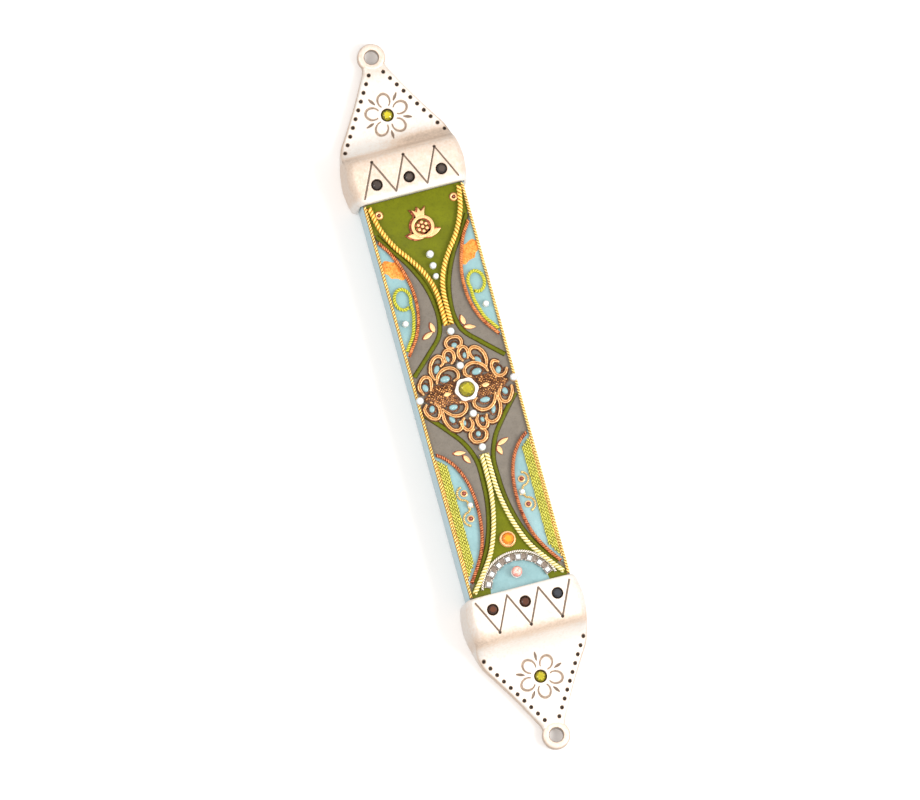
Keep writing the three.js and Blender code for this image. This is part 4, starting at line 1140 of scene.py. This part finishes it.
# The strands of the rosette, as lines of (x, y) whose ends curl in.
STRANDS = [
    [(-0.5, 10.8), (-1.7, 11.2), (-1.95, 12.4), (-1.1, 13.3), (0.1, 13.5), (1.4, 13.1), (1.9, 12.1),
     (1.5, 11.0), (0.6, 10.8)],
    [(-0.8, -9.9), (-1.8, -10.5), (-2.05, -11.7), (-1.4, -12.9), (-0.3, -13.2), (0.9, -13.1),
     (1.8, -12.2), (1.9, -10.9), (1.0, -10.1)],
    [(-3.1, 7.9), (-3.3, 9.2), (-2.9, 10.2), (-2.1, 10.6), (-1.2, 10.3), (-0.75, 9.3), (-1.0, 8.0),
     (-1.8, 7.2)],
    [(1.0, 7.2), (0.4, 8.3), (0.45, 9.5), (1.2, 10.4), (2.1, 10.5), (2.7, 9.7), (2.75, 8.6), (2.4, 7.6)],
    [(-2.4, -6.6), (-3.2, -7.6), (-3.1, -8.8), (-2.3, -9.7), (-1.2, -9.4), (-0.65, -8.3), (-1.0, -7.0)],
    [(1.1, -6.7), (0.55, -7.7), (0.6, -8.9), (1.3, -10.0), (2.2, -10.1), (2.9, -9.2), (2.7, -8.0)],
    [(-6.9, 4.4), (-7.4, 6.0), (-7.0, 7.9), (-5.9, 9.3), (-4.6, 9.7), (-3.75, 9.0), (-3.9, 7.7),
     (-4.6, 7.2)],
    [(3.7, 7.0), (3.1, 8.2), (3.3, 9.3), (4.3, 9.8), (5.5, 9.3), (6.4, 8.0), (6.7, 6.2), (6.3, 4.5)],
    [(-7.0, -3.9), (-7.2, -5.6), (-6.7, -7.4), (-5.7, -8.8), (-4.3, -9.2), (-3.4, -8.4), (-3.6, -7.2)],
    [(6.9, -3.4), (7.15, -5.2), (6.6, -7.3), (5.4, -8.9), (3.9, -9.2), (3.0, -8.3), (3.2, -7.1)],
    [(-10.5, 1.5), (-11.1, 3.2), (-10.3, 4.8), (-9.1, 5.5), (-8.0, 4.9), (-8.0, 3.4), (-8.5, 2.0)],
    [(9.4, 4.8), (8.2, 5.3), (7.5, 4.4), (7.6, 3.0), (8.1, 1.8), (9.1, 1.3), (10.3, 1.7), (11.0, 2.8)],
    [(-8.3, -1.2), (-7.65, -2.6), (-7.75, -4.0), (-8.6, -5.1), (-9.8, -4.9), (-10.9, -3.7),
     (-11.2, -2.2), (-10.5, -1.2)],
    [(8.4, -1.3), (7.6, -2.4), (7.4, -3.7), (7.9, -4.9), (9.1, -5.2), (10.1, -4.3), (10.8, -3.0),
     (11.0, -1.7)],
    [(-6.6, 3.3), (-6.0, 4.9), (-4.7, 6.0), (-3.0, 6.3), (-1.6, 5.7), (-0.95, 4.5), (-1.25, 3.3),
     (-2.3, 2.9)],
    [(1.9, 2.9), (0.9, 3.4), (0.65, 4.7), (1.5, 5.7), (3.1, 6.1), (4.8, 5.5), (5.9, 4.4), (6.3, 3.3)],
    [(-6.9, -3.2), (-5.9, -4.5), (-4.6, -5.5), (-3.0, -5.7), (-1.6, -5.0), (-0.95, -3.7),
     (-1.4, -2.7), (-2.3, -2.6)],
    [(1.9, -2.6), (1.0, -3.3), (1.0, -4.4), (2.2, -5.6), (3.9, -5.8), (5.4, -5.0), (6.3, -3.7),
     (6.7, -2.5)],
]
# Each enamel drop is its middle, two half widths and turn in degrees.
DROPS = [
    (-4.4, 3.85, 1.25, 0.85, 0), (3.65, 3.8, 1.3, 0.85, 8), (-4.2, -3.35, 1.1, 0.75, 0),
    (3.8, -3.4, 1.3, 0.75, -6), (-5.75, 6.6, 0.7, 1.1, -28), (4.65, 6.5, 0.65, 1.1, 32),
    (-5.3, -6.2, 0.65, 1.0, 25), (5.2, -6.2, 0.55, 1.1, -20), (-2.5, 8.5, 0.5, 0.75, 10),
    (1.8, 8.4, 0.5, 0.75, -10), (-2.6, -7.8, 0.45, 0.75, -8), (1.9, -8.0, 0.5, 0.7, 8),
    (0, 11.4, 0.75, 0.7, 0), (0, -11.2, 0.65, 0.7, 0), (-9.65, 2.9, 0.75, 1.0, 15),
    (8.85, 2.85, 0.7, 1.0, -25), (-9.4, -2.5, 0.7, 0.9, -20), (9.1, -2.5, 0.7, 0.95, 20),
]


# The grains' limit is a row of places out from the middle and the half height at each.
GRAIN_ROWS = 20
GRAIN_STEP = 0.36
GRAIN_START = 3.2
GRAIN_LIMIT = ([3, 5.5, 7.2, 9.6, 10.5], [2.6, 2.4, 2.9, 0.9, 0.0])


def add_strand(parts, points, lift):
    """A half-round strand on a dark backing. It tapers to each end and finishes in a small ball."""
    step = 0.15
    line = smooth_line(points, step)
    from_end = np.minimum(np.arange(len(line)), np.arange(len(line))[::-1]) * step
    size = 0.62 + 0.38 * fade(from_end, 0.0, 1.6)
    size *= 1 + 0.07 * np.sin(2.1 * line[:, 0] + 1.7 * line[:, 1]) + 0.04 * np.sin(5.3 * line[:, 1])
    backing = np.array([(-0.72, -0.02), (-0.64, 0.16), (0.64, 0.16), (0.72, -0.02)])
    points, faces = swept(raised(line, TRIM_BASE), backing)
    parts.add(points, faces, 0.97)
    half = [(-0.41, -0.32), (-0.41, 0.04), (-0.35, 0.25), (-0.2, 0.33), (-0.06, 0.2)]
    section = np.array([*half, *[(-x, z) for x, z in reversed(half)]])
    path = raised(line, TRIM_BASE + 0.34)
    path[:, 2] += lift * fade(from_end, 0.3, 1.8)
    points, faces = swept(path, section, size)
    # Painted highlights on the strand's two crests; it is darker in the groove between them and down its
    # flanks.
    parts.add(points, faces, np.tile([1, 0.75, 0.15, 0, 0.65, 0.65, 0, 0.1, 0.75, 1], len(line)))
    for tip in (line[0], line[-1]):
        points, faces = dome(*tip, 0.36, 0.36, TRIM_BASE, 0.66, sides=10, rings=4)
        parts.add(points, faces, darker_below(points, TRIM_BASE + 0.5, 0.4))


def filigree_parts():
    parts = Parts()
    side = [(10.6, 0.4), (9.4, 1.3), (7.3, 3.0), (5.2, 2.6), (3.0, 3.0)]
    half = [*side, (0, 3.2), *[(-x, y) for x, y in reversed(side)]]
    core = [*half, *[(x, -y) for x, y in reversed(half)]]
    add_plaque(parts, [core], TRIM_BASE, TRIM_BASE + 0.35, 0.08, edge_tone=1.0, top_tone=0.95)
    for number, strand in enumerate(STRANDS):
        add_strand(parts, strand, 0.12 if number >= len(STRANDS) - 4 else 0.0)
    for x, y, half_x, half_y, turn in DROPS:
        under = oval(x, y, half_x + 0.5, half_y + 0.5, 26, turn)
        add_plaque(parts, [under], TRIM_BASE, TRIM_BASE + 0.12, 0.04, top_tone=0.95)
        points, faces = dome(x, y, half_x, half_y, TRIM_BASE + 0.05, 0.42, turn, 18, 5)
        parts.add(points, faces, darker_below(points, TRIM_BASE + 0.25, 0.3), 1)

    # Rows of fine grains fill the two wings of the core, laid on a slant.
    base = TRIM_BASE + 0.3
    for i in range(-GRAIN_ROWS, GRAIN_ROWS + 1):
        for j in range(-GRAIN_ROWS, GRAIN_ROWS + 1):
            x = GRAIN_STEP * (i + j) + rng.uniform(-0.1, 0.1)
            y = GRAIN_STEP * (i - j) + rng.uniform(-0.1, 0.1)
            if GRAIN_START < abs(x) and abs(y) < np.interp(abs(x), *GRAIN_LIMIT):
                high, level = rng.uniform(0.15, 0.5), rng.uniform(0.15, 0.8)
                reach = rng.uniform(0.17, 0.3)
                points, faces = dome(x, y, reach, reach, base, high, sides=7, rings=2)
                parts.add(points, faces, np.clip(level + 1.5 * (base + high - points[:, 2]), 0, 1))
    for side in (-1, 1):
        leaf = almond(side * 4.85, 0.0, 2.0, 1.15, 0)
        add_plaque(parts, [leaf], TRIM_BASE + 0.3, TRIM_BASE + 0.85, 0.16, edge_tone=0.7)
    return parts


def setting_parts():
    """A six-lobed cup with a rolled rim inside and a bead on each lobe."""
    parts = Parts()
    base = TRIM_BASE + 0.55
    angle = np.linspace(0, 2 * np.pi, 72, endpoint=False)
    lobed = circle(1.0, 72) * (2.86 + 0.15 * np.cos(6 * angle))[:, None]
    add_plaque(parts, [lobed, circle(1.98, 48)], base, base + 0.95, 0.2, edge_tone=0.45)
    add_plaque(parts, [circle(2.1, 40)], base, base + 0.3, 0.05, mark=1, edge_tone=1.0, top_tone=1.0)
    add_ring(parts, 0, 0, base + 0.92, 2.12, 0.17, wear_and_shade=0.15)
    for x, y in circle(2.66, 6):
        points, faces = dome(x, y, 0.3, 0.3, base + 0.85, 0.25, sides=10, rings=3)
        parts.add(points, faces)
    return parts


piece("filigree", filigree_parts(), [ANTIQUE, SKY])
piece("setting", setting_parts(), [IVORY, ANTIQUE])
stone_piece("centre_crystal", LIME_STONE)


# ---- Beads and stones ----

PEARLS = [f"rosette_{spot}_pearl" for spot in ("top", "bottom", "left", "right", "upper", "lower")]
PEARLS += [f"row_{spot}_pearl" for spot in ("first", "second", "third")]
PEARLS += ["left_lens_pearl", "right_lens_pearl", "left_curl_bead", "right_curl_bead"]
for name in PEARLS:
    x, y, base, top, radius = where(name)
    parts = Parts()
    middle = (base + top) / 2
    points, faces = ball(x, y, middle, radius, unevenness=0.012)
    # Painted shade: the pearl is clean at its top and runs to teal-grey down its sides.
    parts.add(points, faces, darker_below(points, middle + 0.9 * radius, 1.25 * radius))
    # A small cup of metal holds the bead, with a wire round its lip.
    add_ring(parts, x, y, base + radius * 0.34, radius * 0.86, 0.13, 1, 24)
    piece(name, parts, [PEARL, ANTIQUE if "rosette" in name else IVORY])

for side in ("left", "right"):
    x, y, base, top, radius = where(f"{side}_corner_ring")
    parts = Parts()
    add_ring(parts, x, y, base + 0.24, 0.68, 0.24)
    add_ring(parts, x, y, base + 0.1, 0.98, 0.12, wear_and_shade=0.6)
    piece(f"{side}_corner_ring", parts, [ANTIQUE])
    for name in ("corner_garnet", "upper_curl_garnet", "lower_curl_garnet"):
        x, y, base, top, radius = where(f"{side}_{name}")
        parts = Parts()
        radius *= 0.86
        points, faces = ball(x, y, base + radius, radius, 20, 12, 0.02)
        # Painted shade: each garnet darkens away from its top.
        parts.add(points, faces, np.clip(0.5 - 0.6 * ((points[:, 2] - base) / radius - 1), 0, 1))
        if "curl" in name:
            add_ring(parts, x, y, base + 0.2, radius + 0.16, 0.2, 1, 22)
        piece(f"{side}_{name}", parts, [GARNET, ANTIQUE])

x, y, base, top, radius = where("bezel")
parts = Parts()
wall = [oval(x, y, 1.9, 1.9, 48), oval(x, y, 1.5, 1.5, 48)]
add_plaque(parts, wall, base, base + 0.9, 0.18, edge_tone=0.5)
add_plaque(parts, [oval(x, y, 1.6, 1.6, 40)], base, base + 0.32, 0.05, edge_tone=0.8)
add_rope(parts, raised(arc(x, y, 1.86, 0, 360, 65), base + 0.2), 0.2, 0.8, closed=True)
piece("bezel", parts, [LEAF_GOLD])
stone_piece("amber_crystal", AMBER_STONE, spin=10)

x, y, base, top, radius = where("coral_bead")
parts = Parts()
points, faces = ball(x, y, base + radius, radius, 32, 20, 0.01)
# A painted highlight: the bead is palest at its top and deepens to coral down its sides.
parts.add(points, faces, np.clip(0.65 - 0.75 * ((points[:, 2] - base) / radius - 1), 0, 1))
add_ring(parts, x, y, base + 0.25, radius * 0.9, 0.18, 1)
piece("coral_bead", parts, [CORAL, IVORY])


# ---- Curls beside the lower lenses ----

CURL_X = 7.3
CURL_RADIUS = 1.7
CURL_BEAD = (6.6, -27.8)


def curl_parts(side):
    """Two curls of twisted wire spring from a square seat, and each ends in a small ball."""
    parts = Parts()
    x, y = CURL_BEAD
    for centre_y, start, end, root in ((-24.6, 70, -95, y + 0.35), (-31.0, -70, 95, y - 0.35)):
        curl = arc(CURL_X, centre_y, CURL_RADIUS, start, end, 22)
        line = smooth_line([*curl[::2], (x, root)], 0.12) * (side, 1)
        add_rope(parts, raised(line, TRIM_BASE + 0.24), 0.27, 0.9, side)
        points, faces = dome(*line[0], 0.36, 0.36, TRIM_BASE, 0.55, sides=12, rings=4)
        parts.add(points, faces, darker_below(points, TRIM_BASE + 0.4, 0.4))
    seat = oval(side * x, y, 0.95, 0.95, 4, 45)
    add_plaque(parts, [seat], TRIM_BASE, TRIM_BASE + 0.4, 0.1, edge_tone=0.6)
    return parts


piece("left_curls", curl_parts(-1), [CURL_GOLD])
piece("right_curls", curl_parts(1), [CURL_GOLD])


# ---- Arch of stones ----

def cup_chain_parts():
    """Eight square cups with clear stones and corner prongs, on a curved strip."""
    parts = Parts()
    line = raised(arc(*ARCH_CENTRE, CHAIN_RADIUS, 20, 160, 50), TRIM_BASE + 0.17)
    points, faces = swept(line, circle(0.85, 10, 0.2))
    parts.add(points, faces, 0.8)
    turns = np.linspace(23, 157, 8)
    for k, (x, y) in enumerate(arc(*ARCH_CENTRE, CUP_RADIUS, 23, 157, 8)):
        def square(reach):
            return oval(x, y, reach, reach, 4, turns[k] + 45)

        wall = [square(1.2), square(1.0)]
        add_plaque(parts, wall, TRIM_BASE, TRIM_BASE + 0.75, 0.08, top_tone=0.45)
        # A square stone: flat table with four sloping sides. The table is painted light as a highlight, the
        # sides take three levels of painted shade in turn, and the base is dark.
        corners = np.vstack([raised(square(1.02), TRIM_BASE + 0.5), raised(square(0.62), TRIM_BASE + 0.95)])
        parts.add(corners[4:], [(0, 1, 2, 3)], 0.0, 1)
        for j in range(4):
            facet = [j, (j + 1) % 4, 4 + (j + 1) % 4, 4 + j]
            parts.add(corners[facet], [(0, 1, 2, 3)], 0.25 + 0.25 * ((j + k) % 3), 1)
        parts.add(corners[:4], [(3, 2, 1, 0)], 1.0, 1)
        for corner in square(1.1):
            points, faces = dome(*corner, 0.17, 0.17, TRIM_BASE + 0.6, 0.36, sides=8, rings=3)
            parts.add(points, faces, 0.15)
    return parts


piece("cup_chain", cup_chain_parts(), [IVORY, CLEAR_STONE])


# ---- Stage and light ----

# The backdrop, the lights and their places are in metres.
STAGE_HALF = 1.5
STAGE_GAP = 0.0006


def stage_material():
    """A matt white sheet, lit from the front and clear from behind."""
    material = bpy.data.materials.new("stage")
    material.use_nodes = True
    tree = material.node_tree
    shader = tree.nodes["Principled BSDF"]
    shader.inputs["Base Color"].default_value = (0.9, 0.885, 0.875, 1)
    shader.inputs["Roughness"].default_value = 0.9
    shader.inputs["Specular IOR Level"].default_value = 0.1
    clear = node(tree, "ShaderNodeBsdfTransparent")
    facing = node(tree, "ShaderNodeNewGeometry")
    mix = node(tree, "ShaderNodeMixShader")
    output = tree.nodes["Material Output"]
    tree.links.new(facing.outputs["Backfacing"], mix.inputs["Fac"])
    tree.links.new(shader.outputs["BSDF"], mix.inputs[1])
    tree.links.new(clear.outputs["BSDF"], mix.inputs[2])
    tree.links.new(mix.outputs["Shader"], output.inputs["Surface"])
    return material


def add_stage():
    half, y = STAGE_HALF, STAGE_GAP
    mesh = bpy.data.meshes.new("backdrop")
    corners = [(-half, y, -half), (half, y, -half), (half, y, half), (-half, y, half)]
    mesh.from_pydata(corners, [], [(0, 1, 2, 3)])
    mesh.materials.append(stage_material())
    sheet = add_object("backdrop", mesh)
    sheet.visible_shadow = False
    sheet.visible_diffuse = False
    sheet.visible_glossy = False


def add_light(name, place_at, size, power, colour=(1, 1, 1)):
    data = bpy.data.lights.new(name, "AREA")
    data.shape = "DISK"
    data.size = size
    data.energy = power
    data.color = colour
    add_object(name, data, place_at, (-Vector(place_at)).to_track_quat("-Z", "Y"))


def add_world():
    """An even sky, a little brighter towards the lower right in front."""
    world = bpy.data.worlds.new("studio")
    bpy.context.scene.world = world
    world.use_nodes = True
    tree = world.node_tree
    background = tree.nodes["Background"]
    background.inputs["Color"].default_value = (1.0, 0.985, 0.97, 1)
    coords = node(tree, "ShaderNodeTexCoord")
    aim = node(tree, "ShaderNodeVectorMath", operation="DOT_PRODUCT")
    aim.inputs[1].default_value = Vector((0.6, -0.55, -0.45)).normalized()
    tree.links.new(coords.outputs["Generated"], aim.inputs[0])
    level = ranged(tree, aim.outputs["Value"], -1.0, 1.0, 0.72, 0.98)
    tree.links.new(level, background.inputs["Strength"])


add_stage()
add_world()
add_light("key", (0.46, -0.58, -0.26), 0.34, 3.5, (1.0, 0.985, 0.96))
add_light("fill", (-0.5, -0.6, 0.15), 0.5, 1.6, (1.0, 0.97, 0.95))
add_light("front", (-0.04, -0.9, -0.1), 0.12, 1.0)
bpy.context.scene.view_settings.view_transform = "Standard"
